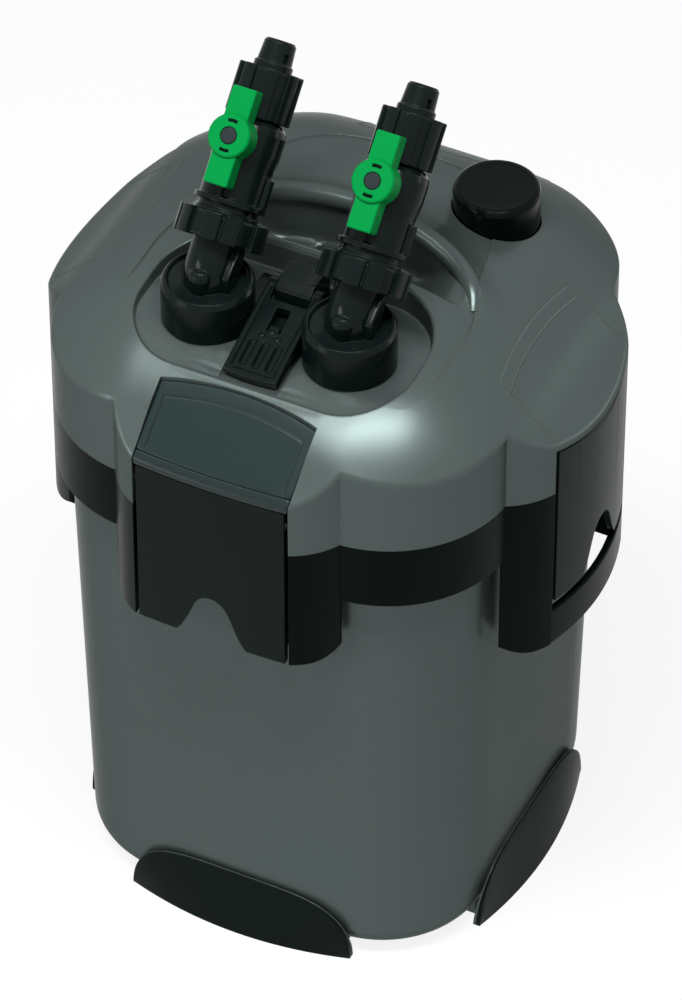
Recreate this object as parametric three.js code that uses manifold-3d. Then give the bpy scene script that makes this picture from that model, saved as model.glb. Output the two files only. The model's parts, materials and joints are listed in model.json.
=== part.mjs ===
// Aquarium canister filter: a square canister with four clip latches, a domed pump head with a
// priming button, and a lift-out hose adapter that carries two ball taps.
// Millimetres, +Z up. The origin is on the floor under the middle, and the front faces -Y.

import * as THREE from 'three';
import { mergeVertices } from 'three/addons/utils/BufferGeometryUtils.js';
import Module from 'manifold-3d';

const wasm = await Module();
wasm.setup();

// ---------------------------------------------------------------- shared clearances and walls
const seatGap = 0.3; // between pieces that seat on each other
const runGap = 0.5; // between pieces that turn or slide
const wall = 3; // moulded wall of the head and canister

// ---------------------------------------------------------------- canister and head, plan view
const sideNames = ['front', 'right', 'back', 'left'];
const headHalf = 104.7; // half-width of the head and of the black band
const headCorner = 57; // corner radius of the head in plan
const cornerSteps = 5; // facets in each rounded corner
const bandOverhang = 6.4; // the band stands this far out from the canister
const bodyHalfTop = headHalf - bandOverhang; // canister half-width under the band
const bodyHalfLow = bodyHalfTop - 3.9; // canister half-width near the floor
const bodyCorner = headCorner - 7; // corner radius of the canister in plan
const bodyEdge = 12; // rounding of the canister's lower edge
const bodyBottom = 3; // underside of the canister above the floor
const rimTop = 248; // top of the canister's rim
const bandBottom = rimTop - 22.3;
const bandTop = rimTop + 9.5; // the silver cover starts here
const bandWall = 4.2;

// ---------------------------------------------------------------- dome of the head
const domeTop = 328; // height the dome would reach in the middle
const highAbove = domeTop + 72; // cutting solids end here, clear of the head
const domeDrop = 29.6; // fall from there to the middle of each side
const domeDiagonal = 6; // further fall towards the four corners
const domePower = 2.9; // the higher, the flatter the middle of the dome
const deckSharpness = 6; // the higher, the nearer the corners the further fall stays
const domeRings = [0.98, 0.936, 0.869, 0.783, 0.669, 0.516, 0.325, 0.134]; // shares of the half-width
const rimRound = 2.2; // rounding of the head's upper edge
const chamberSide = 283; // the hollow's walls go up to here
const chamberRoof = 300; // and lean in to its flat roof
const chamberRoofHalf = headHalf - 20.7;

// ---------------------------------------------------------------- latch bays
const bayDepth = 15.3; // the latch faces stand this far out from the head
const bayReach = headHalf + bayDepth;
const clearOfBays = bayReach + 20; // cutting solids reach out to here
const bayHalf = 36.3; // half-width of the bay between its two ears
const earHalf = 52.7; // half-width where an ear meets the head
const earBelly = 1.8; // how far an ear bows out of its straight line
const frontBulge = 1; // bow of the front and back latches
const sideBulge = 6.3; // bow of the right and left latches
const padOuterZ = 284; // height of a pad's outer edge
const padSlope = 0.793; // rise of a pad for each millimetre inwards
const padInner = headHalf - 12.2; // where a pad ends at its two sides, from the middle
const padCrown = 4; // and how much further in it reaches midway
const padDepth = 2.9; // thickness of a pad, measured straight down
const padInset = 5.4; // width of the strip along a pad's inner edge
const padLine = 0.5; // depth of the line round a pad's panel
const padLineWidth = 0.9;

// ---------------------------------------------------------------- latches
const latchHalf = 34.5;
const latchWall = 3;
const latchBottom = 194.4;
const latchTopGap = 1.1; // below the pad, measured straight down
const pivotReach = bayReach - 4.5; // latch pivots, from the middle
const pivotZ = 269.9;
const latchSwing = 10.95; // nothing above the pivot reaches further from it
const pinRadius = 1.5;
const barrelRadius = 4.2;
const notchHalf = 16.5; // finger arch in a latch's lower edge
const notchHeight = 24;
const hookX = 26; // hooks sit this far either side of the latch's middle
const hookHalf = 6;
const hookTop = 218.2;
const hookDepth = 4.6;
const hookReach = headHalf - 0.5; // how close to the middle a hook reaches
const keeperReach = headHalf + 2.9; // keepers on the canister reach out this far
const keeperDepth = 5.8;

// ---------------------------------------------------------------- guards and carrying grips
const shortGuardBottom = 194.2; // front and back
const deepGuardBottom = 169.5; // right and left, which carry the grips
const guardRound = 12;
const guardWall = 3;
const gripTop = 189.5;
const gripWall = 3.4;

// ---------------------------------------------------------------- feet
const footHalf = 54;
const footHeight = 28.6;
const footReach = bodyHalfLow + 11; // outermost point on the floor
const footTipReach = bodyHalfLow + 2.8; // the foot's two ends on the floor
const footRidgeReach = bodyHalfLow + 3.2; // ridge along the top of a foot
const footWall = 3.2;
const footStations = 13;

// ---------------------------------------------------------------- well, grip recess and button
const wellHalf = 63.5;
const wellFront = 86.4;
const wellBack = 16;
const wellCorner = 29.5;
const wellFloor = 313.2; // the cups stand on it
const wellRamp = 78; // in front of this the floor falls with the deck
const wellLow = 309; // floor at the front edge, and all along under the lock lever
const leverLane = 13.8; // half-width of the low lane under the lock lever
const lipCurve = [[0, 21], [16, 19.8], [31, 16.4], [45, 11.8], [56, 6], [64, -1.5], [68.5, -10]];
const lipRadius = 4.6;
const lipRise = 0.6; // the lip's middle line above the deck
const recessFloor = 311;
const recessShare = 0.72; // share of the lip's curve that the recess floor follows
const recessRidge = 3; // ridge between the well and the recess
const recessBrim = 324; // the recess has its full width from here up
const scoopHalf = 17.5; // deep middle of the recess
const scoopFront = 8;
const scoopFloor = 295;
const scoopBack = 28; // it reaches under the lip
const scoopRoof = 315;
const scoopCorner = 7;
const buttonX = 51;
const buttonY = 50;
const buttonRadius = 18.8;
const buttonTop = 335.5;
const buttonTravel = 8;
const buttonWall = 1.9;
const buttonLow = 299; // lower edge of its skirt, inside the head
const sleeveCup = buttonRadius + runGap + 2.2; // the sleeve's foot, seated under the deck
const sleeveBottom = buttonLow - buttonTravel - 3;
const sleeveFloor = 2.5;
const sleeveSeatZ = 298;
const sleeveInner = 13.6;
const sleeveTop = 322;

// ---------------------------------------------------------------- adapter and taps
const tapX = 33; // taps sit this far either side of the middle
const cupY = -55;
const cupRadius = 20;
const cupTop = 334;
const spigotRadius = 14;
const spigotBottom = 286;
const elbowRadius = 10.4;
const elbowBend = 12;
const waterBore = 6.6;
const tapLean = THREE.MathUtils.degToRad(43.8); // taps lean back from upright
const nutCentreZ = 350.2; // height of the lower union nut's middle
const unionCollar = 13.5;
const swivelRadius = 17.2;
const swivelLobe = 19.5;
const swivelHalf = 5.9;
const swivelPairs = 5;
const bodyRadius = 14.5;
const hubStation = 37.5; // tap lever's hub along the tap's own axis
const shoulder = 47.8; // where the valve body ends
const hoseNutTop = 69.4;
const hoseNutRadius = 12.6;
const hoseNutLobe = 14;
const hoseNutLobes = 8;
const stubTop = 82;
const stubBase = 8.4;
const stubTip = 6.9;
const stubBore = 4.8;
const ballRadius = 10.9;
const stemRadius = 3.4;
const leverLength = 42;
const leverWidth = 11;
const leverHub = 9.3;
const leverBack = 15.3; // lever's rear face from the tap's axis
const leverFace = 24;
const leverHubFace = 25.6;
const capRadius = 3.5;

// ---------------------------------------------------------------- lock lever between the cups
const lockHalf = 12.4;
const lockLength = 46.5;
const lockThick = 4;
const lockPitch = THREE.MathUtils.degToRad(19);
const lockPivotY = -38.5;
const lockPivotZ = 325;
const lockKnuckle = 3.8;
const lockPin = 1.6;
const bridgeTop = 316;
const yokeHalf = 8.2; // hinge block of the adapter between the knuckles
const yokeTop = 330.5;
const yokeBack = -23;

// ---------------------------------------------------------------- pump, seals and inner pipes
const plateTop = rimTop + 4; // the pump plate that closes the canister
const plateBottom = rimTop - 10;
const plateHalf = bodyHalfTop - 5.1; // the plug that enters the rim
const sealSection = 1.5;
const motorY = 34;
const motorRadius = 36;
const motorTop = 286;
const rotorWell = 12.5;
const rotorRadius = 11.6;
const rotorBottom = 256;
const rotorTop = 279;
const shaftRadius = 1.5;
const impellerRadius = 17;
const impellerBottom = 240.5;
const impellerTop = 247.5;
const impellerBlades = 6;
const voluteRadius = 22;
const voluteWall = 2;
const seatRadius = 6; // hub of the volute cover that holds the shaft
const pipeRadius = 11;
const pipeWall = 1.8;
const riserBottom = 24;
const ductLevel = 243;
const springCoils = 7;
const springWire = 0.7;
const springRadius = 8.6;
const glandRadius = 7.5;
const glandBore = 3.3;
const glandLength = 12;
const glandX = -70;
const glandZ = 272;

// ---------------------------------------------------------------- baskets and media
const basketCount = 3;
const basketHalf = bodyHalfLow - 8.4;
const basketCorner = bodyCorner - 8;
const basketHeight = 65;
const basketWall = 1.8;
const basketFloorGap = 2; // above the canister's inner floor and between baskets
const basketSlots = 5;
const basketPitch = 26; // from slot to slot
const mediaLayers = [['ceramic_rings', 30], ['bio_balls', 52], ['foam_pad', 50]]; // [name, height]

// ---------------------------------------------------------------- materials
const finish = (color, roughness, metalness) => (
  new THREE.MeshStandardMaterial({ color, roughness, metalness }));
const silver = finish(0x5a6664, 0.36, 0.35);
const black = finish(0x101715, 0.42, 0);
const darkPad = finish(0x2d3939, 0.5, 0.05);
const rubber = finish(0x0c100f, 0.8, 0);
const green = finish(0x059e4b, 0.45, 0);
const capGrey = finish(0x3c4244, 0.6, 0);
const steel = finish(0xb8bcbe, 0.3, 1);
const ceramic = finish(0xe8e4da, 0.5, 0);
const innerGrey = finish(0x6a7072, 0.55, 0);
const magnetGrey = finish(0x3a3c40, 0.5, 0.2);
const mediaMaterials = [finish(0xd8d0c0, 0.9, 0), finish(0x26292a, 0.7, 0), finish(0x1f2b3c, 0.95, 0)];

// ================================================================ tools for closed solids

// Merged, indexed copy of a closed geometry, without empty triangles and with its faces outwards.
function tidy(geometry) {
  const bare = new THREE.BufferGeometry();
  bare.setAttribute('position', geometry.getAttribute('position').clone());
  if (geometry.index) bare.setIndex(geometry.index.clone());
  const merged = mergeVertices(bare, 1e-4);
  const position = merged.getAttribute('position');
  const source = merged.index.array;
  const kept = [];
  let volume = 0;
  const a = new THREE.Vector3();
  const b = new THREE.Vector3();
  const c = new THREE.Vector3();
  for (let i = 0; i < source.length; i += 3) {
    const [p, q, r] = [source[i], source[i + 1], source[i + 2]];
    if (p === q || q === r || r === p) continue;
    kept.push(p, q, r);
    volume += a.fromBufferAttribute(position, p).dot(
      b.fromBufferAttribute(position, q).cross(c.fromBufferAttribute(position, r)));
  }
  if (volume < 0) kept.reverse();
  merged.setIndex(kept);
  return merged;
}

function toSolid(geometry) {
  const shape = tidy(geometry);
  const vertProperties = new Float32Array(shape.getAttribute('position').array);
  const triVerts = new Uint32Array(shape.index.array);
  return new wasm.Manifold(new wasm.Mesh({ numProp: 3, vertProperties, triVerts }));
}

function toGeometry(solid) {
  const mesh = solid.getMesh();
  const geometry = new THREE.BufferGeometry();
  geometry.setAttribute('position', new THREE.BufferAttribute(new Float32Array(mesh.vertProperties), 3));
  geometry.setIndex(new THREE.BufferAttribute(new Uint32Array(mesh.triVerts), 1));
  return geometry;
}

const join = (first, ...others) => others.reduce((sum, next) => sum.add(next), first);
const cut = (first, ...others) => others.reduce((left, tool) => left.subtract(tool), first);

// Solid through a row of rings with the same number of points, closed at both ends.
function loft(rings) {
  const points = rings.flat();
  const count = rings[0].length;
  const centre = (ring) => ring.reduce((sum, p) => sum.add(p), new THREE.Vector3()).divideScalar(count);
  const firstCentre = points.push(centre(rings[0])) - 1;
  const lastCentre = points.push(centre(rings[rings.length - 1])) - 1;
  const index = [];
  for (let k = 0; k < rings.length - 1; k += 1) {
    for (let i = 0; i < count; i += 1) {
      const j = (i + 1) % count;
      const [low, high] = [k * count, (k + 1) * count];
      index.push(low + i, low + j, high + j, low + i, high + j, high + i);
    }
  }
  const top = (rings.length - 1) * count;
  for (let i = 0; i < count; i += 1) {
    const j = (i + 1) % count;
    index.push(firstCentre, j, i, lastCentre, top + i, top + j);
  }
  const geometry = new THREE.BufferGeometry();
  const flat = new Float32Array(points.flatMap((p) => [p.x, p.y, p.z]));
  geometry.setAttribute('position', new THREE.BufferAttribute(flat, 3));
  geometry.setIndex(index);
  return geometry;
}

// Ring of a square with rounded corners. height is a number or a function of x and y.
function squareRing(half, corner, height) {
  const ring = [];
  const middle = half - corner;
  for (let side = 0; side < 4; side += 1) {
    for (let step = 0; step <= cornerSteps; step += 1) {
      const angle = (side + step / cornerSteps) * Math.PI / 2;
      const x = middle * Math.sign(Math.cos((side + 0.5) * Math.PI / 2)) + corner * Math.cos(angle);
      const y = middle * Math.sign(Math.sin((side + 0.5) * Math.PI / 2)) + corner * Math.sin(angle);
      ring.push(new THREE.Vector3(x, y, typeof height === 'number' ? height : height(x, y)));
    }
  }
  return ring;
}

// Prism between two heights from a plan outline.
function prism(shape, low, high, curveSegments = 8) {
  const options = { depth: high - low, bevelEnabled: false, curveSegments };
  const geometry = new THREE.ExtrudeGeometry(shape, options);
  return geometry.translate(0, 0, low);
}

// Prism along X from an outline drawn in Y and Z.
function prismX(shape, from, to, curveSegments = 8) {
  const geometry = new THREE.ExtrudeGeometry(shape, { depth: to - from, bevelEnabled: false, curveSegments });
  geometry.translate(0, 0, from);
  const axes = new THREE.Matrix4().makeBasis(
    new THREE.Vector3(0, 1, 0), new THREE.Vector3(0, 0, 1), new THREE.Vector3(1, 0, 0));
  return geometry.applyMatrix4(axes);
}

// Prism along Y from an outline drawn in X and Z.
function prismY(shape, from, to, curveSegments = 8) {
  const geometry = new THREE.ExtrudeGeometry(shape, { depth: to - from, bevelEnabled: false, curveSegments });
  geometry.rotateX(Math.PI / 2);
  return geometry.translate(0, to, 0);
}

// Solid of revolution round the Z axis, from points given as [radius, height].
function revolve(points, segments = 18) {
  const profile = points.map(([r, z]) => new THREE.Vector2(r, z));
  return new THREE.LatheGeometry(profile, segments).rotateX(Math.PI / 2);
}

function ringProfile(inner, outer, low, high) {
  return [[inner, low], [outer, low], [outer, high], [inner, high], [inner, low]];
}

function discProfile(radius, low, high) {
  return [[0, low], [radius, low], [radius, high], [0, high]];
}

function polygon(points) {
  const shape = new THREE.Shape();
  points.forEach(([x, y], i) => (i ? shape.lineTo(x, y) : shape.moveTo(x, y)));
  shape.closePath();
  return shape;
}

function roundedRectangle(x0, x1, y0, y1, radius) {
  const shape = new THREE.Shape();
  shape.absarc(x1 - radius, y0 + radius, radius, -Math.PI / 2, 0);
  shape.absarc(x1 - radius, y1 - radius, radius, 0, Math.PI / 2);
  shape.absarc(x0 + radius, y1 - radius, radius, Math.PI / 2, Math.PI);
  shape.absarc(x0 + radius, y0 + radius, radius, Math.PI, 1.5 * Math.PI);
  return shape;
}

function box(x0, x1, y0, y1, z0, z1) {
  return new THREE.BoxGeometry(x1 - x0, y1 - y0, z1 - z0)
    .translate((x0 + x1) / 2, (y0 + y1) / 2, (z0 + z1) / 2);
}

function rodX(radius, from, to, y, z, segments = 12) {
  return new THREE.CylinderGeometry(radius, radius, to - from, segments)
    .rotateZ(Math.PI / 2).translate((from + to) / 2, y, z);
}

function rodY(radius, from, to, x, z, segments = 16) {
  return new THREE.CylinderGeometry(radius, radius, to - from, segments).translate(x, (from + to) / 2, z);
}

// Round bar or pipe along a path.
function sweep(path, radius, steps, sides = 14) {
  const corners = Array.from({ length: sides }, (_, i) => {
    const angle = 2 * Math.PI * i / sides;
    return [radius * Math.cos(angle), radius * Math.sin(angle)];
  });
  return new THREE.ExtrudeGeometry(polygon(corners), { steps, extrudePath: path });
}

// Turns a piece that was drawn on the front side round to another side.
const toSide = (geometry, side) => geometry.rotateZ(side * Math.PI / 2);

const group = new THREE.Group();

function add(name, geometry, material, parent = group) {
  const mesh = new THREE.Mesh(geometry, material);
  mesh.name = name;
  parent.add(mesh);
  return mesh;
}

const addSolid = (name, solid, material, parent) => add(name, toGeometry(solid), material, parent);
const addShape = (name, geometry, material, parent) => add(name, tidy(geometry), material, parent);

// ================================================================ rules that the pieces share

// Height of the dome: it falls with the distance out to the head's rounded square outline.
function deckHeight(x, y) {
  const middle = headHalf - headCorner;
  const [cornerX, cornerY] = [Math.max(Math.abs(x) - middle, 0), Math.max(Math.abs(y) - middle, 0)];
  const inCorner = cornerX > 0 && cornerY > 0;
  const distance = inCorner ? middle + Math.hypot(cornerX, cornerY) : Math.max(Math.abs(x), Math.abs(y));
  const diagonal = (2 * Math.abs(x * y) / Math.max(x * x + y * y, 1)) ** deckSharpness;
  return domeTop - (domeDrop + domeDiagonal * diagonal) * (distance / headHalf) ** domePower;
}

const padHeight = (reach) => padOuterZ + (bayReach - reach) * padSlope;
const bulgeOf = (side) => (side % 2 ? sideBulge : frontBulge);

// Reach of a bowed face at a place along its side.
const bowedReach = (bulge, x, inset = 0) => bayReach - inset + bulge * (1 - (x / bayHalf) ** 2);

// Points of a bowed face from one x to another, drawn on the front side.
function bow(bulge, from, to, inset = 0, steps = 6) {
  return Array.from({ length: steps + 1 }, (_, i) => {
    const x = from + (to - from) * i / steps;
    return [x, -bowedReach(bulge, x, inset)];
  });
}

// Curved flank of an ear or guard from its outer corner to where it meets the head.
function earFlank(sign, inset = 0, steps = 4) {
  const start = [bayHalf, bayReach];
  const end = [earHalf, headHalf];
  const [dx, dy] = [end[0] - start[0], end[1] - start[1]];
  const length = Math.hypot(dx, dy);
  const [nx, ny] = [-dy / length, dx / length];
  return Array.from({ length: steps + 1 }, (_, i) => {
    const t = i / steps;
    const belly = earBelly * 4 * t * (1 - t) - inset;
    return [sign * (start[0] + dx * t + nx * belly), -(start[1] + dy * t + ny * belly)];
  });
}

// Everything above a pad's slope, between two places along the side.
function aboveSlope(half, drop, inner = padInner) {
  const outer = clearOfBays;
  const high = padHeight(0);
  const outline = polygon([
    [-outer, padHeight(outer) - drop], [-inner, padHeight(inner) - drop], [-inner, high], [-outer, high],
  ]);
  return prismX(outline, -half, half);
}

// ================================================================ canister

function makeCanister() {
  const low = bodyBottom + bodyEdge;
  const halfAt = (z) => bodyHalfLow + (bodyHalfTop - bodyHalfLow) * (z - low) / (rimTop - low);
  const outer = [];
  for (let step = 0; step <= 4; step += 1) {
    const angle = (step / 4) * Math.PI / 2;
    const inset = bodyEdge * (1 - Math.sin(angle));
    const corner = Math.max(bodyCorner - inset, 4);
    outer.push(squareRing(bodyHalfLow - inset, corner, low - bodyEdge * Math.cos(angle)));
  }
  outer.push(squareRing(halfAt((low + rimTop) / 2), bodyCorner, (low + rimTop) / 2));
  outer.push(squareRing(halfAt(rimTop), bodyCorner, rimTop));
  const innerFloor = bodyBottom + wall;
  const inner = [
    squareRing(halfAt(rimTop) - wall, bodyCorner - wall, rimTop),
    squareRing(halfAt(low) - wall, bodyCorner - wall, low),
    squareRing(halfAt(low) - wall - bodyEdge / 2, bodyCorner - wall - bodyEdge / 2, innerFloor),
  ];
  let solid = toSolid(loft([...outer, ...inner]));
  for (let side = 0; side < 4; side += 1) {
    for (const sign of [-1, 1]) {
      const x = sign * hookX;
      const keeper = box(x - hookHalf - 1, x + hookHalf + 1, -keeperReach, -halfAt(hookTop) + wall / 2,
        hookTop + seatGap, hookTop + seatGap + keeperDepth);
      solid = solid.add(toSolid(toSide(keeper, side)));
    }
    const stand = box(-footHalf + 6, footHalf - 6, -footTipReach + footWall + 1, -bodyHalfLow + 2 * bodyEdge,
      1, bodyBottom + bodyEdge / 2);
    solid = solid.add(toSolid(toSide(stand, side)));
  }
  addSolid('canister', solid, silver);
}

function makeFeet() {
  for (let side = 0; side < 4; side += 1) {
    const rings = [];
    for (let i = 0; i < footStations; i += 1) {
      const u = -1 + 2 * i / (footStations - 1);
      const spread = Math.sin(u * Math.PI / 2); // closer stations near the two ends
      const x = footHalf * spread;
      const top = 1.6 + (footHeight - 1.6) * Math.sqrt(1 - Math.abs(spread) ** 5);
      const share = top / footHeight;
      const floorReach = footTipReach + (footReach - footTipReach) * (1 - spread ** 2);
      const ridge = floorReach + (footRidgeReach - floorReach) * share;
      const back = bodyHalfLow + seatGap + 0.9;
      const innerTop = Math.min(ridge - 1.2, floorReach - footWall + (back - floorReach + footWall) * share);
      rings.push([
        new THREE.Vector3(x, -floorReach, 0),
        new THREE.Vector3(x, -(floorReach + (ridge - floorReach) * 0.45), top * 0.5),
        new THREE.Vector3(x, -ridge, top - 0.9),
        new THREE.Vector3(x, -ridge + 0.8, top),
        new THREE.Vector3(x, -innerTop, top - 0.3),
        new THREE.Vector3(x, -(floorReach - footWall), 0),
      ]);
    }
    addShape(`foot_${sideNames[side]}`, toSide(loft(rings), side), rubber);
  }
}

// ================================================================ black band with guards and grips

function makeHeadRing() {
  const outer = headHalf;
  const inner = headHalf - bandWall;
  let solid = toSolid(loft([
    squareRing(outer, headCorner, bandBottom),
    squareRing(outer, headCorner, bandTop),
  ]));
  solid = cut(solid, toSolid(loft([
    squareRing(inner, headCorner - bandWall, bandBottom - 1),
    squareRing(inner, headCorner - bandWall, bandTop + 1),
  ])));
  for (let side = 0; side < 4; side += 1) {
    const deep = side % 2 === 1;
    const bottom = deep ? deepGuardBottom : shortGuardBottom;
    const back = headHalf - bandWall / 2;
    for (const sign of [-1, 1]) {
      const flank = earFlank(sign);
      const outline = polygon([[sign * bayHalf, -back], ...flank, [sign * earHalf, -back]]);
      const pocket = polygon([
        [sign * (bayHalf + guardWall), -back + 4],
        ...earFlank(sign, guardWall).filter(([x]) => Math.abs(x) > bayHalf + guardWall),
        [sign * (earHalf - guardWall), -back + 4],
      ]);
      const guard = cut(
        toSolid(prism(outline, bottom, bandTop)),
        toSolid(prism(pocket, bottom - 1, bandBottom - guardWall)));
      solid = solid.add(toSolid(toSide(toGeometry(guard), side)));
    }
    // the guards' lower corners are rounded, seen from the side
    const rounded = roundedRectangle(-earHalf - 2, earHalf + 2, bottom, bandTop + guardRound, guardRound);
    const kept = toSolid(toSide(prismY(rounded, -clearOfBays, -back + 0.01, 4), side));
    const below = box(-earHalf - 9, earHalf + 9, -clearOfBays, -back + 0.01, bottom - guardRound, bandBottom);
    solid = solid.subtract(toSolid(toSide(below, side)).subtract(kept));
    if (deep) {
      const front = bow(sideBulge, -bayHalf - 1, bayHalf + 1);
      const rear = bow(sideBulge, bayHalf + 1, -bayHalf - 1, gripWall);
      const grip = prism(polygon([...front, ...rear]), deepGuardBottom, gripTop);
      solid = solid.add(toSolid(toSide(grip, side)));
    }
  }
  addSolid('head_ring', solid, black);
}

// ================================================================ head cover

// Dome of the head with a flat underside.
function domeSolid() {
  const at = (drop) => (x, y) => deckHeight(x, y) - drop;
  const rings = [
    squareRing(headHalf, headCorner, bandTop),
    squareRing(headHalf, headCorner, at(rimRound)),
    squareRing(headHalf - rimRound * 0.3, headCorner - rimRound * 0.3, at(rimRound * 0.3)),
  ];
  for (const share of domeRings) {
    const half = share * headHalf;
    rings.push(squareRing(half, Math.max(headCorner - (headHalf - half), half * 0.6), at(0)));
  }
  return toSolid(loft(rings));
}

// Chamber under the dome for the motor and the pipes, with at least a wall's thickness left.
function headChamber() {
  const ring = (half, z) => squareRing(half, Math.max(headCorner - (headHalf - half), half * 0.6), z);
  return toSolid(loft([
    ring(headHalf - wall, bandTop - 1),
    ring(headHalf - wall, chamberSide),
    ring(chamberRoofHalf, chamberRoof),
  ]));
}

// Point of the lip's curve in plan, from its left end at -1 to its right end at 1.
function lipPoint(share) {
  const place = Math.abs(share) * (lipCurve.length - 1);
  const first = Math.min(Math.floor(place), lipCurve.length - 2);
  const [[x0, y0], [x1, y1]] = [lipCurve[first], lipCurve[first + 1]];
  return [Math.sign(share) * (x0 + (x1 - x0) * (place - first)), y0 + (y1 - y0) * (place - first)];
}

// Space of the grip recess: upright along the lip, with ramps up to the deck at its two ends.
function recessSpace(grow = 0) {
  const count = 12;
  const ring = (share, z) => {
    const points = Array.from({ length: count + 1 }, (_, i) => {
      const [x, y] = lipPoint(share * (1 - 2 * i / count));
      const length = Math.hypot(x, y + 40);
      return new THREE.Vector3(x + grow * x / length, y + grow * (y + 40) / length, z);
    });
    const [endX] = lipPoint(share * 0.93);
    points.push(
      new THREE.Vector3(-endX, -wellBack + recessRidge - grow, z),
      new THREE.Vector3(endX, -wellBack + recessRidge - grow, z));
    return points;
  };
  const floor = recessFloor - grow;
  return toSolid(loft([ring(recessShare, floor), ring(1, recessBrim - grow), ring(1, highAbove)]));
}

function makeHeadCover() {
  let solid = domeSolid();
  for (let side = 0; side < 4; side += 1) {
    const plan = polygon([
      [-earHalf, -headHalf + 8], ...earFlank(-1).reverse(), ...bow(bulgeOf(side), -bayHalf, bayHalf),
      ...earFlank(1), [earHalf, -headHalf + 8],
    ]);
    const block = toSolid(prism(plan, bandTop, padHeight(headHalf - 8)));
    const slope = toSolid(aboveSlope(earHalf + 5, 0, 0));
    solid = solid.add(toSolid(toSide(toGeometry(block.subtract(slope)), side)));
  }
  // the lip is a round bead along the recess
  const lipPoints = [...lipCurve.slice(1).reverse().map(([x, y]) => [-x, y]), ...lipCurve]
    .map(([x, y]) => new THREE.Vector3(x, y, deckHeight(x, y) + lipRise));
  solid = solid.add(toSolid(sweep(new THREE.CatmullRomCurve3(lipPoints), lipRadius, 18, 8)));

  // hollow with its walls round the well, the recess and the button
  let hollow = headChamber();
  const wellOuter = roundedRectangle(
    -wellHalf - wall, wellHalf + wall, -wellFront - wall, -wellBack + wall, wellCorner + wall);
  const wellShell = toSolid(prism(wellOuter, wellLow - wall, highAbove));
  const scoopOuter = scoopHalf + wall;
  const scoopShell = toSolid(
    box(-scoopOuter, scoopOuter, -scoopFront - wall, scoopBack + wall, scoopFloor - wall, highAbove));
  const buttonShell = toSolid(revolve(
    discProfile(sleeveCup + wall, sleeveSeatZ - wall, highAbove), 24).translate(buttonX, buttonY, 0));
  hollow = cut(hollow, wellShell, recessSpace(wall), scoopShell, buttonShell);
  for (const sign of [-1, 1]) {
    const socket = revolve(discProfile(spigotRadius + runGap + 2.6, spigotBottom - 2, highAbove));
    hollow = hollow.subtract(toSolid(socket.translate(sign * tapX, cupY, 0)));
  }
  for (let side = 0; side < 4; side += 1) {
    const slab = aboveSlope(bayHalf + 2, padDepth + 2.4, padInner - 5);
    hollow = hollow.subtract(toSolid(toSide(slab, side)));
  }
  solid = solid.subtract(hollow);

  // open forms: bays, pads, well, recess, sockets and button hole
  for (let side = 0; side < 4; side += 1) {
    const front = side === 0;
    const under = padDepth;
    const bay = polygon([
      [-clearOfBays, bandTop - 5], [-headHalf - seatGap, bandTop - 5],
      [-headHalf - seatGap, padHeight(headHalf + seatGap) - under],
      [-clearOfBays, padHeight(clearOfBays) - under],
    ]);
    const bayTool = prismX(bay, -bayHalf, bayHalf);
    solid = solid.subtract(toSolid(toSide(bayTool, side)));
    const padSpace = toSolid(aboveSlope(bayHalf, front ? padDepth + seatGap : 0, padInner - padCrown));
    const padTool = padSpace.intersect(toSolid(prism(padPlan(bayHalf), bandTop, highAbove)));
    solid = solid.subtract(toSolid(toSide(toGeometry(padTool), side)));
    if (!front) solid = solid.subtract(toSolid(toSide(toGeometry(padLines()), side)));
    const pin = rodX(pinRadius + seatGap, -bayHalf - 3.4, bayHalf + 3.4, -pivotReach, pivotZ, 12);
    solid = solid.subtract(toSolid(toSide(pin, side)));
  }
  const well = roundedRectangle(-wellHalf, wellHalf, -wellFront, -wellBack, wellCorner);
  const wellSpace = polygon([
    [-wellFront - 1, wellLow], [-wellRamp, wellFloor], [0, wellFloor], [0, highAbove],
    [-wellFront - 1, highAbove],
  ]);
  const lane = box(-leverLane, leverLane, -wellFront - 1, 0, wellLow, highAbove);
  const floors = toSolid(prismX(wellSpace, -wellHalf - 1, wellHalf + 1)).add(toSolid(lane));
  solid = cut(solid, toSolid(prism(well, wellLow - 1, highAbove)).intersect(floors), recessSpace());
  const scoop = roundedRectangle(-scoopHalf, scoopHalf, -scoopFront, scoopBack, scoopCorner);
  const mouth = roundedRectangle(-scoopHalf, scoopHalf, -scoopFront, lipCurve[1][1] - 5, scoopCorner);
  const underLip = toSolid(prism(scoop, scoopFloor, scoopRoof, 4));
  solid = cut(solid, underLip, toSolid(prism(mouth, scoopFloor, highAbove, 4)));
  for (const sign of [-1, 1]) {
    const bore = revolve(discProfile(spigotRadius + runGap, spigotBottom - 10, highAbove));
    solid = solid.subtract(toSolid(bore.translate(sign * tapX, cupY, 0)));
  }
  const buttonBore = revolve(discProfile(buttonRadius + runGap, sleeveSeatZ - 5, highAbove), 26);
  solid = solid.subtract(toSolid(buttonBore.translate(buttonX, buttonY, 0)));
  const sleeveSeat = revolve(discProfile(sleeveCup + seatGap, chamberRoof - 25, sleeveSeatZ + seatGap), 24);
  solid = solid.subtract(toSolid(sleeveSeat.translate(buttonX, buttonY, 0)));
  const glandHole = join(
    toSolid(rodY(glandRadius - 2 + seatGap, glandWallY - 20, headHalf + 5, glandX, glandZ, 14)),
    toSolid(rodY(glandRadius + runGap, glandWallY + 3.5 - seatGap, headHalf + 5, glandX, glandZ, 14)));
  solid = solid.subtract(glandHole);
  addSolid('head_cover', solid, silver);
}

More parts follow.
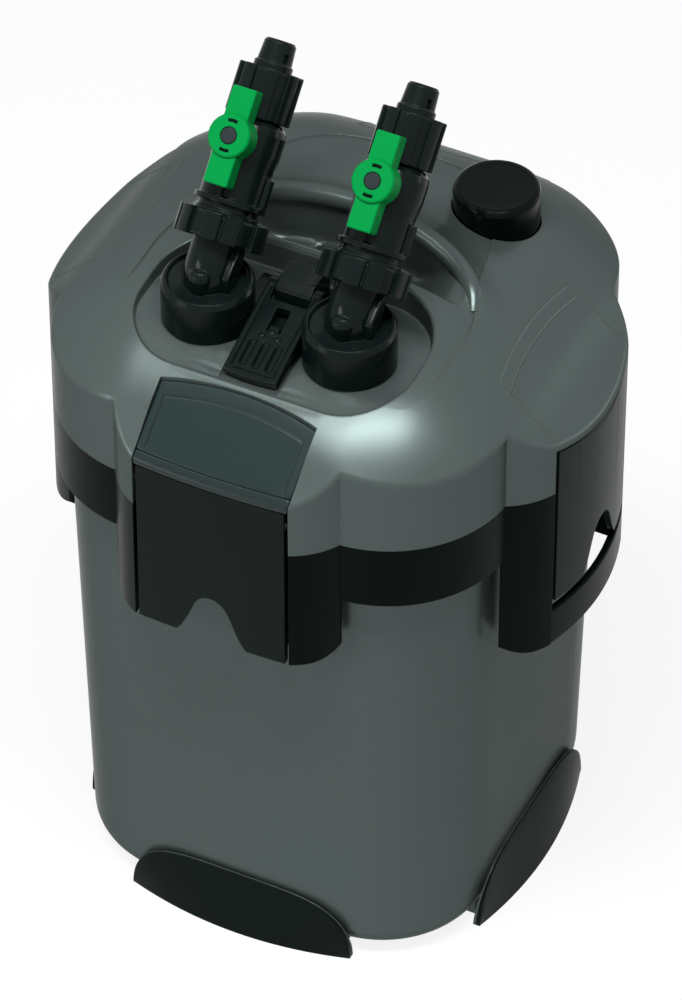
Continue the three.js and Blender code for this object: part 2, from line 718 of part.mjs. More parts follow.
// Plan of a pad on the front side, with its crowned inner edge drawn in by an inset.
function padPlan(half, inset = 0, outer = clearOfBays + 10) {
  const steps = 6;
  const inner = Array.from({ length: steps + 1 }, (_, i) => {
    const x = half * (1 - 2 * i / steps);
    return [x, -(padInner + inset - padCrown * (1 - (x / bayHalf) ** 2))];
  });
  return polygon([[-half, -outer], [half, -outer], ...inner]);
}

// Thin line cut round a pad's panel and along the strip at its inner edge.
function padLines() {
  const half = bayHalf - 1.6;
  const inside = padPlan(half - padLineWidth, padInset + padLineWidth, clearOfBays + 20);
  const frame = cut(
    toSolid(prism(padPlan(half, padInset), bandTop, highAbove)),
    toSolid(prism(inside, bandTop - 10, highAbove + 10)));
  return frame.intersect(toSolid(aboveSlope(bayHalf + 5, padLine, padInner - padCrown)));
}

function makeFrontPad() {
  const half = bayHalf - seatGap;
  const inner = padInner - padCrown;
  const slab = toSolid(aboveSlope(half + 5, padDepth, inner)).subtract(toSolid(aboveSlope(half + 6, 0, 0)));
  const rear = -inner + padDepth;
  const outer = prism(polygon([[-half, rear], ...bow(frontBulge, -half, half), [half, rear]]), bandTop, highAbove);
  const panelHalf = half - 3.4;
  const panel = toSolid(prism(padPlan(panelHalf, padInset, bayReach - 3), bandTop, highAbove))
    .intersect(toSolid(aboveSlope(half, padLine, inner)));
  const plan = toSolid(prism(padPlan(half, seatGap), bandTop, highAbove));
  addSolid('front_pad', slab.intersect(plan).intersect(toSolid(outer)).subtract(panel), darkPad);
}

// ================================================================ latches

function makeLatches() {
  for (let side = 0; side < 4; side += 1) {
    const bulge = bulgeOf(side);
    const innerFace = bow(bulge, latchHalf, -latchHalf, latchWall);
    const skin = polygon([...bow(bulge, -latchHalf, latchHalf), ...innerFace]);
    let solid = toSolid(prism(skin, latchBottom, padOuterZ));
    // barrel on the pivot, carried by a web behind the skin
    const web = polygon([
      [-bayReach + latchWall / 2 - bulge, pivotZ - barrelRadius], [-pivotReach, pivotZ - barrelRadius],
      [-pivotReach, pivotZ + barrelRadius], [-bayReach + latchWall / 2 - bulge, pivotZ + barrelRadius],
    ]);
    const rear = -hookReach + 1;
    const behind = polygon([[-latchHalf, rear], ...bow(bulge, -latchHalf, latchHalf, 1), [latchHalf, rear]]);
    const backing = prism(behind, latchBottom - 20, padOuterZ);
    solid = join(
      solid,
      toSolid(prismX(web, -latchHalf, latchHalf)).intersect(toSolid(backing)),
      toSolid(rodX(barrelRadius, -latchHalf, latchHalf, -pivotReach, pivotZ)));
    // the top edge is round, so that it clears the pad as the latch swings
    const swing = toSolid(rodX(latchSwing, -latchHalf - 1, latchHalf + 1, -pivotReach, pivotZ, 40));
    const below = box(-latchHalf - 1, latchHalf + 1, -clearOfBays, 0, latchBottom - 20, pivotZ);
    solid = solid.intersect(swing.add(toSolid(below)));
    for (const sign of [-1, 1]) {
      const x = sign * hookX;
      const arm = polygon([
        [-bayReach + 1 - bulge, hookTop - hookDepth - 7], [-hookReach - 3, hookTop - hookDepth],
        [-hookReach, hookTop - 2], [-hookReach, hookTop], [-bayReach + 1 - bulge, hookTop],
      ]);
      const rib = prismX(arm, x - hookHalf, x + hookHalf);
      solid = solid.add(toSolid(rib).intersect(toSolid(backing)));
      const edge = sign * (latchHalf - 1.1);
      const cheek = polygon([
        [-bayReach + 1 - bulge, latchBottom + 4], [-bayReach + 7, latchBottom + 10],
        [-pivotReach, pivotZ], [-bayReach + 1 - bulge, pivotZ],
      ]);
      solid = solid.add(toSolid(prismX(cheek, edge - 1.1, edge + 1.1)).intersect(toSolid(backing)));
    }
    // finger arch, pin bore and the sloped top edge
    const arch = new THREE.Shape();
    arch.moveTo(-notchHalf, latchBottom - 5);
    arch.lineTo(-notchHalf, latchBottom);
    arch.bezierCurveTo(
      -notchHalf * 0.55, latchBottom + notchHeight * 0.35, -notchHalf * 0.6, latchBottom + notchHeight,
      0, latchBottom + notchHeight);
    arch.bezierCurveTo(
      notchHalf * 0.6, latchBottom + notchHeight, notchHalf * 0.55, latchBottom + notchHeight * 0.35,
      notchHalf, latchBottom);
    arch.lineTo(notchHalf, latchBottom - 5);
    solid = cut(
      solid,
      toSolid(prismY(arch, -clearOfBays, -hookReach, 6)),
      toSolid(rodX(pinRadius + seatGap, -latchHalf - 1, latchHalf + 1, -pivotReach, pivotZ, 12)),
      toSolid(aboveSlope(latchHalf + 1, padDepth + latchTopGap, padInner - padCrown - 20)));
    const name = sideNames[side];
    addShape(`latch_${name}`, toSide(toGeometry(solid), side), black);
    const pin = rodX(pinRadius, -bayHalf - 3, bayHalf + 3, -pivotReach, pivotZ, 12);
    addShape(`latch_pin_${name}`, toSide(pin, side), steel);
  }
}

// ================================================================ hose adapter

// Matrix of a tap: its own +Z runs along the tap, and its own -Y faces the front.
function tapMatrix(sign) {
  const matrix = new THREE.Matrix4().makeRotationX(-tapLean);
  const rise = nutCentreZ;
  return matrix.setPosition(sign * tapX, nutCentreY(), rise);
}

// The elbow's upright leg and the tap's axis meet above the cup.
const elbowMeetZ = cupTop + 2.4;
const nutCentreY = () => cupY + (nutCentreZ - elbowMeetZ) * Math.tan(tapLean);

function elbowPath(sign, low, end) {
  const x = sign * tapX;
  const meet = new THREE.Vector3(x, cupY, elbowMeetZ);
  const along = new THREE.Vector3(0, Math.sin(tapLean), Math.cos(tapLean));
  const tangent = elbowBend * Math.tan(tapLean / 2);
  const start = new THREE.Vector3(x, cupY, elbowMeetZ - tangent);
  const finishBend = meet.clone().addScaledVector(along, tangent);
  const last = new THREE.Vector3(x, nutCentreY(), nutCentreZ).addScaledVector(along, end);
  const path = new THREE.CurvePath();
  path.add(new THREE.LineCurve3(new THREE.Vector3(x, cupY, low), start));
  path.add(new THREE.QuadraticBezierCurve3(start, meet, finishBend));
  path.add(new THREE.LineCurve3(finishBend, last));
  return path;
}

function makeAdapter() {
  const solids = [];
  const bores = [];
  for (const sign of [-1, 1]) {
    const foot = wellFloor + seatGap;
    const groove = (spigotBottom + foot) / 2;
    const cup = revolve([
      [0, spigotBottom], [spigotRadius - 0.8, spigotBottom], [spigotRadius, spigotBottom + 2],
      [spigotRadius, groove - 1.4], [spigotRadius - 1.9, groove - 1.4], [spigotRadius - 1.9, groove + 1.4],
      [spigotRadius, groove + 1.4], [spigotRadius, foot], [cupRadius, foot],
      [cupRadius, cupTop - 1.8], [cupRadius - 1.6, cupTop], [cupRadius - 3.2, cupTop - 0.9],
      [0, cupTop - 0.9],
    ], 20);
    solids.push(toSolid(cup.translate(sign * tapX, cupY, 0)));
    solids.push(toSolid(sweep(elbowPath(sign, cupTop - 8, -seatGap), elbowRadius, 7, 14)));
    const collar = revolve(discProfile(unionCollar, -swivelHalf + 3.2, -seatGap));
    collar.applyMatrix4(tapMatrix(sign));
    solids.push(toSolid(collar));
    bores.push(toSolid(sweep(elbowPath(sign, spigotBottom - 2, 2), waterBore, 8, 8)));
  }
  const low = wellLow + seatGap;
  const bridge = polygon([
    [-74, low], [yokeBack, low], [yokeBack, yokeTop - 3], [yokeBack - 3, yokeTop],
    [lockPivotY + 1.5, yokeTop], [lockPivotY - 3.5, lockPivotZ + 2], [lockPivotY - 3.9, lockPivotZ - 4],
    [lockPivotY - 5.5, bridgeTop + 1], [-58, bridgeTop], [-74, low + 1.6],
  ]);
  const tongue = toSolid(prismX(bridge, -yokeHalf, yokeHalf));
  const bridgeHalf = tapX - cupRadius / 2;
  const web = toSolid(box(-bridgeHalf, bridgeHalf, -58, yokeBack, wellFloor + seatGap, bridgeTop));
  const gate = toSolid(rodX(lockKnuckle + runGap, -lockHalf - 1, -yokeHalf, lockPivotY, lockPivotZ))
    .add(toSolid(rodX(lockKnuckle + runGap, yokeHalf, lockHalf + 1, lockPivotY, lockPivotZ)));
  const pinBore = toSolid(rodX(lockPin + seatGap, -lockHalf, lockHalf, lockPivotY, lockPivotZ, 12));
  addSolid('hose_adapter', cut(join(...solids, web, tongue), ...bores, gate, pinBore), black);
}

function makeSpigotSeals() {
  for (const [sign, name] of [[-1, 'left'], [1, 'right']]) {
    const centre = (spigotBottom + wellFloor + seatGap) / 2;
    const seal = new THREE.TorusGeometry(spigotRadius - 0.65, 0.95, 4, 16)
      .translate(sign * tapX, cupY, centre);
    addShape(`spigot_seal_${name}`, seal, rubber);
  }
}

function makeLockLever() {
  // drawn along its own -Y from the pivot, then pitched down to the front
  const width = lockHalf;
  const top = lockKnuckle;
  const under = top - lockThick;
  const side = new THREE.Shape();
  side.moveTo(-lockLength, top - lockThick + 0.6);
  side.lineTo(-lockLength, top - 1.2);
  side.lineTo(-lockLength + 1.4, top);
  side.lineTo(0, top);
  side.lineTo(0, under);
  side.lineTo(-lockLength + 3, under);
  let solid = toSolid(prismX(side, -width, width));
  solid = solid.add(toSolid(rodX(lockKnuckle, -width, width, 0, 0)));
  const gate = box(-yokeHalf - runGap, yokeHalf + runGap, -7.5, 8, -8, 8);
  const windowCut = box(-3.4, 3.4, -24, -11.5, -8, 8);
  solid = cut(solid, toSolid(gate), toSolid(windowCut),
    toSolid(rodX(lockPin + seatGap, -width - 1, width + 1, 0, 0, 12)));
  const pawl = box(-2.2, 2.2, -24.5, -20.5, under, top - 0.6);
  solid = solid.add(toSolid(pawl));
  for (const x of [-6, 0, 6]) {
    const groove = roundedRectangle(x - 1.3, x + 1.3, -lockLength + 4.5, -27, 1.2);
    solid = solid.subtract(toSolid(prism(groove, top - 1.4, top + 2, 2)));
  }
  const geometry = toGeometry(solid).rotateX(lockPitch).translate(0, lockPivotY, lockPivotZ);
  addShape('lock_lever', geometry, black);
  const pin = rodX(lockPin, -lockHalf + 0.6, lockHalf - 0.6, lockPivotY, lockPivotZ, 12);
  addShape('lock_pin', pin, steel);
}

// ================================================================ taps

// Star outline with square lobes at the given middle angles, all in degrees.
function lobedOutline(root, tip, middles, halfWidth) {
  const points = [];
  const polar = (radius, degrees) => {
    const angle = THREE.MathUtils.degToRad(degrees);
    return [radius * Math.cos(angle), radius * Math.sin(angle)];
  };
  middles.forEach((middle, i) => {
    points.push(polar(root, middle - halfWidth), polar(tip, middle - halfWidth + 0.8));
    points.push(polar(tip, middle + halfWidth - 0.8), polar(root, middle + halfWidth));
    const next = middles[(i + 1) % middles.length] + (i + 1 === middles.length ? 360 : 0);
    const gap = next - middle - 2 * halfWidth;
    if (gap > 12) points.push(polar(root, middle + halfWidth + gap / 2));
  });
  return polygon(points);
}

function makeTap(sign, name) {
  const tap = new THREE.Group();
  tap.applyMatrix4(tapMatrix(sign));
  group.add(tap);

  // lower union nut: five pairs of lobes, gripping the elbow's collar
  const pairs = [];
  for (let pair = 0; pair < swivelPairs; pair += 1) {
    const middle = -90 + 20 + 360 * pair / swivelPairs;
    pairs.push(middle - 13.7, middle + 13.7);
  }
  const nutInside = revolve([
    [0, -swivelHalf - 1], [elbowRadius + runGap, -swivelHalf - 1], [elbowRadius + runGap, -swivelHalf + 2.9],
    [bodyRadius - 0.2, -swivelHalf + 2.9], [bodyRadius - 0.2, swivelHalf + 1], [0, swivelHalf + 1],
  ]);
  const swivel = cut(
    toSolid(prism(lobedOutline(swivelRadius, swivelLobe, pairs, 11.7), -swivelHalf, swivelHalf)),
    toSolid(nutInside));
  addSolid(`swivel_nut_${name}`, swivel, black, tap);

  // valve body with its ball chamber, bonnet and hose stub
  const threadRadius = hoseNutRadius - 2.2;
  const ballLow = hubStation - ballRadius - 0.6;
  const ballHigh = hubStation + ballRadius + 0.6;
  const chamber = ballRadius + 0.4;
  const body = revolve([
    [waterBore, 0], [bodyRadius - 0.5, 0],
    [bodyRadius - 0.5, swivelHalf + 1.2], [bodyRadius - 1.4, swivelHalf + 1.6],
    [bodyRadius - 1.4, 10], [bodyRadius + 0.9, 10], [bodyRadius + 0.9, 12.4], [bodyRadius - 0.8, 12.8],
    [bodyRadius - 0.8, hubStation - 9], [bodyRadius, hubStation - 6], [bodyRadius, shoulder - 4.4],
    [bodyRadius - 1.3, shoulder - 1.4], [bodyRadius - 3.6, shoulder], [threadRadius, shoulder],
    [threadRadius, hoseNutTop - 4], [stubBase, hoseNutTop - 3], [stubBase, hoseNutTop + 2.4],
    [stubBase - 0.9, hoseNutTop + 3.2], [stubTip, stubTop - 0.8],
    [stubTip - 0.8, stubTop], [stubBore, stubTop],
    [stubBore, ballHigh + 4], [waterBore, ballHigh], [chamber, hubStation + 6], [chamber, hubStation - 6],
    [waterBore, ballLow], [waterBore, 0],
  ], 16);
  const bonnet = rodY(6.4, -leverBack - 1.6, -chamber - 1, 0, hubStation);
  const stemHole = rodY(stemRadius + seatGap, -leverBack - 5, 0, 0, hubStation, 14);
  const valve = cut(join(toSolid(body), toSolid(bonnet)), toSolid(stemHole));
  addSolid(`tap_body_${name}`, valve, black, tap);

  // hose nut with eight wide lobes
  const lobes = Array.from({ length: hoseNutLobes }, (_, i) => -90 + 22.5 + 360 * i / hoseNutLobes);
  const hoseInside = revolve([
    [0, shoulder - 1], [threadRadius + seatGap, shoulder - 1], [threadRadius + seatGap, hoseNutTop - 2.4],
    [stubBase + runGap, hoseNutTop - 2.4], [stubBase + runGap, hoseNutTop + 1], [0, hoseNutTop + 1],
  ]);
  const hoseNut = cut(
    toSolid(prism(lobedOutline(hoseNutRadius, hoseNutLobe, lobes, 14), shoulder + seatGap, hoseNutTop)),
    toSolid(hoseInside));
  addSolid(`hose_nut_${name}`, hoseNut, black, tap);

  // ball on its stem, lever and cap turn together
  const ball = new THREE.SphereGeometry(ballRadius, 12, 8).translate(0, 0, hubStation);
  const stem = rodY(stemRadius, -leverFace + 3, -ballRadius + 1.5, 0, hubStation, 14);
  const ballBore = revolve(discProfile(waterBore, hubStation - 20, hubStation + 20), 14);
  addSolid(`tap_ball_${name}`, cut(join(toSolid(ball), toSolid(stem)), toSolid(ballBore)), innerGrey, tap);

  const arm = roundedRectangle(
    -leverWidth / 2, leverWidth / 2, hubStation - leverLength / 2, hubStation + leverLength / 2, 1);
  const lever = cut(
    join(toSolid(prismY(arm, -leverFace, -leverBack, 2)),
      toSolid(rodY(leverHub, -leverHubFace, -leverBack, 0, hubStation, 22))),
    toSolid(rodY(6.4 + runGap, -leverBack - 1.6 - seatGap, -leverBack + 1, 0, hubStation)),
    toSolid(rodY(stemRadius + seatGap, -leverFace + 3 - seatGap, -leverBack, 0, hubStation, 14)),
    toSolid(rodY(capRadius + seatGap, -leverHubFace - 1, -leverHubFace + 1.6, 0, hubStation)));
  addSolid(`tap_lever_${name}`, lever, green, tap);
  const cap = rodY(capRadius, -leverHubFace - 0.2, -leverHubFace + 1.3, 0, hubStation);
  addShape(`lever_cap_${name}`, cap, capGrey, tap);
}

// ================================================================ priming button

function makePrimingPump() {
  const radius = buttonRadius;
  const top = buttonTop;
  const skirtInner = radius - buttonWall;
  const floor = sleeveBottom + sleeveFloor;
  const stemLow = floor + buttonTravel + 1;
  const button = revolve([
    [0, stemLow], [5, stemLow], [5, top - 3], [skirtInner, top - 3], [skirtInner, buttonLow],
    [radius, buttonLow], [radius, top - 3.6], [radius - 0.9, top - 1.4], [radius - 2.8, top], [0, top],
  ], 22).translate(buttonX, buttonY, 0);
  addShape('prime_button', button, black);

  const sleeveOuter = skirtInner - runGap;
  const bore = radius + runGap;
  const sleeve = revolve([
    [1.5, sleeveBottom], [sleeveCup, sleeveBottom], [sleeveCup, sleeveSeatZ], [bore, sleeveSeatZ],
    [bore, floor], [sleeveOuter, floor], [sleeveOuter, sleeveTop], [sleeveInner, sleeveTop],
    [sleeveInner, floor], [1.5, floor], [1.5, sleeveBottom],
  ], 20).translate(buttonX, buttonY, 0);
  addShape('prime_sleeve', sleeve, innerGrey);

  // return spring: one unbroken wire from the sleeve's floor to the button's underside
  const low = floor + springWire + seatGap;
  const high = top - 3 - springWire - seatGap;
  class Helix extends THREE.Curve {
    getPoint(t, target = new THREE.Vector3()) {
      const angle = 2 * Math.PI * springCoils * t;
      const [east, north] = [springRadius * Math.cos(angle), springRadius * Math.sin(angle)];
      return target.set(buttonX + east, buttonY + north, low + (high - low) * t);
    }
  }
  const perTurn = 8;
  const helix = new Helix();
  addShape('prime_spring', sweep(helix, springWire, springCoils * perTurn, 5), steel);
  let least = Infinity;
  const points = helix.getPoints(springCoils * perTurn);
  for (let i = 0; i < points.length; i += 1) {
    for (let j = i + perTurn / 2; j < points.length; j += 1) {
      least = Math.min(least, points[i].distanceTo(points[j]) - 2 * springWire);
    }
  }
  console.log(`spring: least gap between curls ${least.toFixed(2)} mm`);
}

// ================================================================ pump plate, motor and impeller

function makePumpPlate() {
  const flangeLow = rimTop + seatGap;
  const corner = headCorner - bandWall - seatGap;
  const plugCorner = bodyCorner - wall - 2;
  const grooveZ = (plateBottom + flangeLow) / 2;
  const flangeHalf = headHalf - bandWall - seatGap;
  const ring = (half, z) => squareRing(half, Math.min(corner, plugCorner + Math.max(half - plateHalf, 0)), z);
  const [grooveLow, grooveHigh] = [grooveZ - sealSection, grooveZ + sealSection];
  const plug = loft([
    ring(plateHalf, plateBottom), ring(plateHalf, grooveLow), ring(plateHalf - 2, grooveLow),
    ring(plateHalf - 2, grooveHigh), ring(plateHalf, grooveHigh), ring(plateHalf, flangeLow),
    ring(flangeHalf, flangeLow), ring(flangeHalf, plateTop),
  ]);
  const underCut = loft([
    squareRing(plateHalf - 2 - wall, plugCorner - wall, plateBottom - 1),
    squareRing(plateHalf - 2 - wall, plugCorner - wall, plateTop - wall),
  ]);
  const hole = (radius, x, y) => {
    const bore = revolve(discProfile(radius, plateBottom - 5, plateTop + 5), 18);
    return toSolid(bore.translate(x, y, 0));
  };
  const pipeHole = pipeRadius + seatGap;
  const solid = cut(
    toSolid(plug), toSolid(underCut), hole(pipeHole, -tapX, cupY), hole(pipeHole, tapX, cupY),
    hole(rotorWell, 0, motorY));
  addSolid('pump_plate', solid, innerGrey);

  const sealRing = (half, z) => squareRing(half, bodyCorner - wall - (bodyHalfTop - wall - half), z);
  const sealOuter = bodySealHalf(grooveZ);
  const inner = plateHalf - 2 + seatGap;
  const seal = cut(
    toSolid(loft([sealRing(sealOuter, grooveLow + seatGap), sealRing(sealOuter, grooveHigh - seatGap)])),
    toSolid(loft([sealRing(inner, grooveLow - 3), sealRing(inner, grooveHigh + 3)])));
  addSolid('rim_seal', seal, rubber);
}

// Half-width of the canister's inside at a height, less the seal's clearance.
function bodySealHalf(z) {
  const low = bodyBottom + bodyEdge;
  const half = bodyHalfLow + (bodyHalfTop - bodyHalfLow) * (z - low) / (rimTop - low);
  return half - wall - seatGap;
}

function makeMotor() {
  const low = plateTop + seatGap;
  const housing = revolve([
    [0, rotorTop + 2.5], [rotorWell, rotorTop + 2.5], [rotorWell, low], [motorRadius, low],
    [motorRadius, motorTop - 5], [motorRadius - 1.5, motorTop - 1.5], [motorRadius - 5, motorTop],
    [0, motorTop],
  ], 24).translate(0, motorY, 0);
  addShape('motor_housing', housing, innerGrey);

  const rotor = toSolid(revolve(ringProfile(shaftRadius + seatGap, rotorRadius, rotorBottom, rotorTop), 20));
  const hub = toSolid(revolve(ringProfile(shaftRadius + seatGap, 4.5, impellerBottom, rotorBottom), 16));
  let impeller = rotor.add(hub);
  for (let blade = 0; blade < impellerBlades; blade += 1) {
    const vane = box(shaftRadius * 2, impellerRadius, -0.9, 0.9, impellerBottom, impellerTop);
    impeller = impeller.add(toSolid(vane.rotateZ(2 * Math.PI * blade / impellerBlades)));
  }
  addShape('impeller', toGeometry(impeller).translate(0, motorY, 0), magnetGrey);

  const bushHeight = 3;
  const shaftLow = impellerBottom - 3;
  const shaft = revolve(discProfile(shaftRadius, shaftLow, rotorTop + 2.2), 14).translate(0, motorY, 0);
  addShape('impeller_shaft', shaft, ceramic);
  const bushTop = impellerBottom - seatGap;
  const bush = revolve(ringProfile(shaftRadius + seatGap, 4.2, bushTop - bushHeight, bushTop), 16);
  addShape('shaft_bush', bush.translate(0, motorY, 0), rubber);

  // volute cover with its suction eye under the impeller
  const coverTop = plateTop - wall - seatGap;
  const eyeFloor = impellerBottom - bushHeight - 2 * seatGap;
  const eyeLow = eyeFloor - voluteWall;
  const shell = revolve([
    [seatRadius - 1, eyeLow], [voluteRadius + voluteWall, eyeLow], [voluteRadius + voluteWall, coverTop],
    [voluteRadius, coverTop], [voluteRadius, eyeFloor], [seatRadius - 1, eyeFloor], [seatRadius - 1, eyeLow],
  ], 20);
  const seat = revolve(ringProfile(shaftRadius + seatGap, seatRadius, eyeLow, eyeFloor), 16);
  const slots = [];
  for (let i = 0; i < 4; i += 1) {
    const slot = box(seatRadius + 0.5, voluteRadius - 7, -3, 3, eyeLow - 1, eyeFloor + 1);
    slots.push(toSolid(slot.rotateZ(i * Math.PI / 2 + 0.4)));
  }
  const outlet = toSolid(rodY(pipeRadius - 4, -voluteRadius - 8, 0, voluteRadius - 8, ductLevel - 0.8, 12));
  const cover = cut(join(toSolid(shell), toSolid(seat)), ...slots, outlet);
  addShape('volute_cover', toGeometry(cover).translate(0, motorY, 0), innerGrey);
}

function makePipes() {
  const socketEnd = spigotBottom - 2 - seatGap;
  const riser = revolve(ringProfile(pipeRadius - pipeWall, pipeRadius, riserBottom, socketEnd), 20);
  addShape('intake_riser', riser.translate(-tapX, cupY, 0), innerGrey);

  // the outlet pipe leaves the volute, runs forward under the plate and turns up to the adapter
  const ductRadius = pipeRadius - 4.6;
  const startY = motorY - voluteRadius - voluteWall - seatGap - 0.5;
  const level = ductLevel - 0.8;
  const route = new THREE.CatmullRomCurve3([
    new THREE.Vector3(voluteRadius - 8, startY, level),
    new THREE.Vector3(voluteRadius - 8, startY - 8, level),
    new THREE.Vector3(tapX - 8, cupY + 34, level), new THREE.Vector3(tapX, cupY + 10, level),
    new THREE.Vector3(tapX, cupY + 1.5, level + 2.6), new THREE.Vector3(tapX, cupY, level + 12),
    new THREE.Vector3(tapX, cupY, socketEnd),
  ], false, 'centripetal');
  const outer = toSolid(sweep(route, ductRadius, 12, 9));
  const longer = new THREE.CatmullRomCurve3(
    [route.points[0].clone().add(new THREE.Vector3(0, 1, 0)), ...route.points,
      new THREE.Vector3(tapX, cupY, socketEnd + 1)], false, 'centripetal');
  const inner = toSolid(sweep(longer, ductRadius - pipeWall, 12, 7));
  addSolid('outlet_pipe', outer.subtract(inner), innerGrey);
}

// ================================================================ baskets, media and cable gland

function makeBaskets() {
  const floor = bodyBottom + wall + basketFloorGap + bodyEdge / 2;
  for (let level = 0; level < basketCount; level += 1) {
    const low = floor + level * (basketHeight + seatGap);
    const corner = basketCorner;
    const outside = loft([
      squareRing(basketHalf, corner, low),
      squareRing(basketHalf, corner, low + basketHeight),
    ]);
    const inside = loft([
      squareRing(basketHalf - basketWall, corner - basketWall, low + basketWall),
      squareRing(basketHalf - basketWall, corner - basketWall, low + basketHeight + 1),
    ]);
    const passRadius = pipeRadius + 1.2;
    const tube = (radius, from, to) => {
      const post = revolve(discProfile(radius, from, to), 16);
      return toSolid(post.translate(-tapX, cupY, 0));
    };
    const chimney = tube(passRadius + basketWall, low, low + basketHeight);
    const pass = tube(passRadius, low - 1, low + basketHeight + 1);
    let solid = cut(join(cut(toSolid(outside), toSolid(inside)), chimney), pass);
    for (let slot = 0; slot < basketSlots; slot += 1) {
      const y = (slot - (basketSlots - 1) / 2) * basketPitch;
      const clear = y < cupY + 30;
      const slotHalf = basketHalf * 0.72;
      const slotTool = box(clear ? -10 : -slotHalf, slotHalf, y - 4, y + 4, low - 1, low + basketWall + 1);
      solid = solid.subtract(toSolid(slotTool));
    }
    addSolid(`basket_${level + 1}`, solid, black);

    const mediaHalf = basketHalf - basketWall - seatGap;
    const mediaLow = low + basketWall + seatGap;
    const [mediaName, height] = mediaLayers[level];
    const block = loft([
      squareRing(mediaHalf, corner - basketWall, mediaLow),
      squareRing(mediaHalf, corner - basketWall, mediaLow + height),
    ]);
    const tunnel = tube(passRadius + basketWall + seatGap, mediaLow - 1, mediaLow + height + 1);
    addSolid(mediaName, cut(toSolid(block), tunnel), mediaMaterials[level]);
  }
}

// Where the head's outer wall stands behind the gland.
const headMiddle = headHalf - headCorner;
const glandWallY = headMiddle + Math.sqrt(headCorner ** 2 - (glandX + headMiddle) ** 2);

function makeGland() {
  const gland = revolve([
    [glandBore, 0], [glandRadius - 2, 0], [glandRadius - 2, 9], [glandRadius, 9], [glandRadius, 12],
    [glandRadius - 1.6, 13], [glandRadius - 2.6, 9 + glandLength], [glandBore, 9 + glandLength],
    [glandBore, 0],
  ], 14);
  addShape('cable_gland', gland.rotateX(-Math.PI / 2).translate(glandX, glandWallY - 5.5, glandZ), rubber);
}

makeCanister();
makeFeet();
makeHeadRing();
makeHeadCover();
makeFrontPad();
makeLatches();
makeAdapter();
makeSpigotSeals();
makeLockLever();
makeTap(-1, 'left');
makeTap(1, 'right');
makePrimingPump();
makePumpPlate();
makeMotor();
makePipes();
makeBaskets();
makeGland();

export default group;
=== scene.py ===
"""Looks of the aquarium canister filter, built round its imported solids.

Lengths in the making functions are millimetres; settle() turns a piece into metres at the end.
"""

import json
import math

import bmesh
import bpy
import numpy as np
from mathutils import Matrix, Vector
from mathutils.geometry import delaunay_2d_cdt


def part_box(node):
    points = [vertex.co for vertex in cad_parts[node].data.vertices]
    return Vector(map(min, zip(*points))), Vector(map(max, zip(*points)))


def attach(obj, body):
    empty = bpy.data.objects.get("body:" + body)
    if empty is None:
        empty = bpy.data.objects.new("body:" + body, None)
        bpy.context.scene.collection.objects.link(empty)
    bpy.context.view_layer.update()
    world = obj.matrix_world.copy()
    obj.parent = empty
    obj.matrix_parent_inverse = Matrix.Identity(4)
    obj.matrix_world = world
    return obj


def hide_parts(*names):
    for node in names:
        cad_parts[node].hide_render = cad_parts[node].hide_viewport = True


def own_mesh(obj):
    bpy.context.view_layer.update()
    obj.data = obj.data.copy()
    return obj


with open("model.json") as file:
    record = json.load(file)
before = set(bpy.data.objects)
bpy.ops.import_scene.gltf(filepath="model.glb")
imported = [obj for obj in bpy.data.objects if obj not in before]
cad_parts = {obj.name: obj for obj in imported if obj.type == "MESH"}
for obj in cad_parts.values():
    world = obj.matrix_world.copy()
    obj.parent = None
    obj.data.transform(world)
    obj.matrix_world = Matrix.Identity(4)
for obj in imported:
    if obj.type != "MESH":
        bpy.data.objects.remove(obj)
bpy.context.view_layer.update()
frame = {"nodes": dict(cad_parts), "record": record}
scene = bpy.context.scene
SIDES = ["front", "right", "back", "left"]

# ---------------------------------------------------------------- nodes of materials, world and trees


def feed(tree, node, inputs):
    """Gives a node's inputs their values, or links them to other nodes' outputs."""
    for label, value in inputs.items():
        if isinstance(value, bpy.types.NodeSocket):
            tree.links.new(value, node.inputs[label])
        else:
            node.inputs[label].default_value = value


def add_node(tree, kind, inputs, **settings):
    node = tree.nodes.new(kind)
    for label, value in settings.items():
        setattr(node, label, value)
    feed(tree, node, inputs)
    return node


def maths(tree, operation, first, second):
    """Output of a Math node whose inputs are sockets or numbers."""
    return add_node(tree, "ShaderNodeMath", {0: first, 1: second}, operation=operation).outputs[0]


def noise(tree, vector, scale, detail=2.0, rough=0.5):
    inputs = {"Vector": vector, "Scale": scale, "Detail": detail, "Roughness": rough}
    return add_node(tree, "ShaderNodeTexNoise", inputs).outputs["Fac"]


def mix_shaders(tree, share, first, second, output):
    """Ends a tree in two shaders; the second one has the given share."""
    mix = add_node(tree, "ShaderNodeMixShader", {0: share, 1: first.outputs[0], 2: second.outputs[0]})
    add_node(tree, output, {0: mix.outputs[0]})


def seen_or_mirrored(tree):
    """1 for rays that come from the camera, a mirror or glass, and 0 for the light on the object."""
    rays = tree.nodes.new("ShaderNodeLightPath").outputs
    either = maths(tree, "MAXIMUM", rays["Is Camera Ray"], rays["Is Glossy Ray"])
    return maths(tree, "MAXIMUM", either, rays["Is Transmission Ray"])


def new_material(name):
    material = bpy.data.materials.new(name)
    material.use_nodes = True
    return material, material.node_tree


# ---------------------------------------------------------------- camera, light and floor, in metres

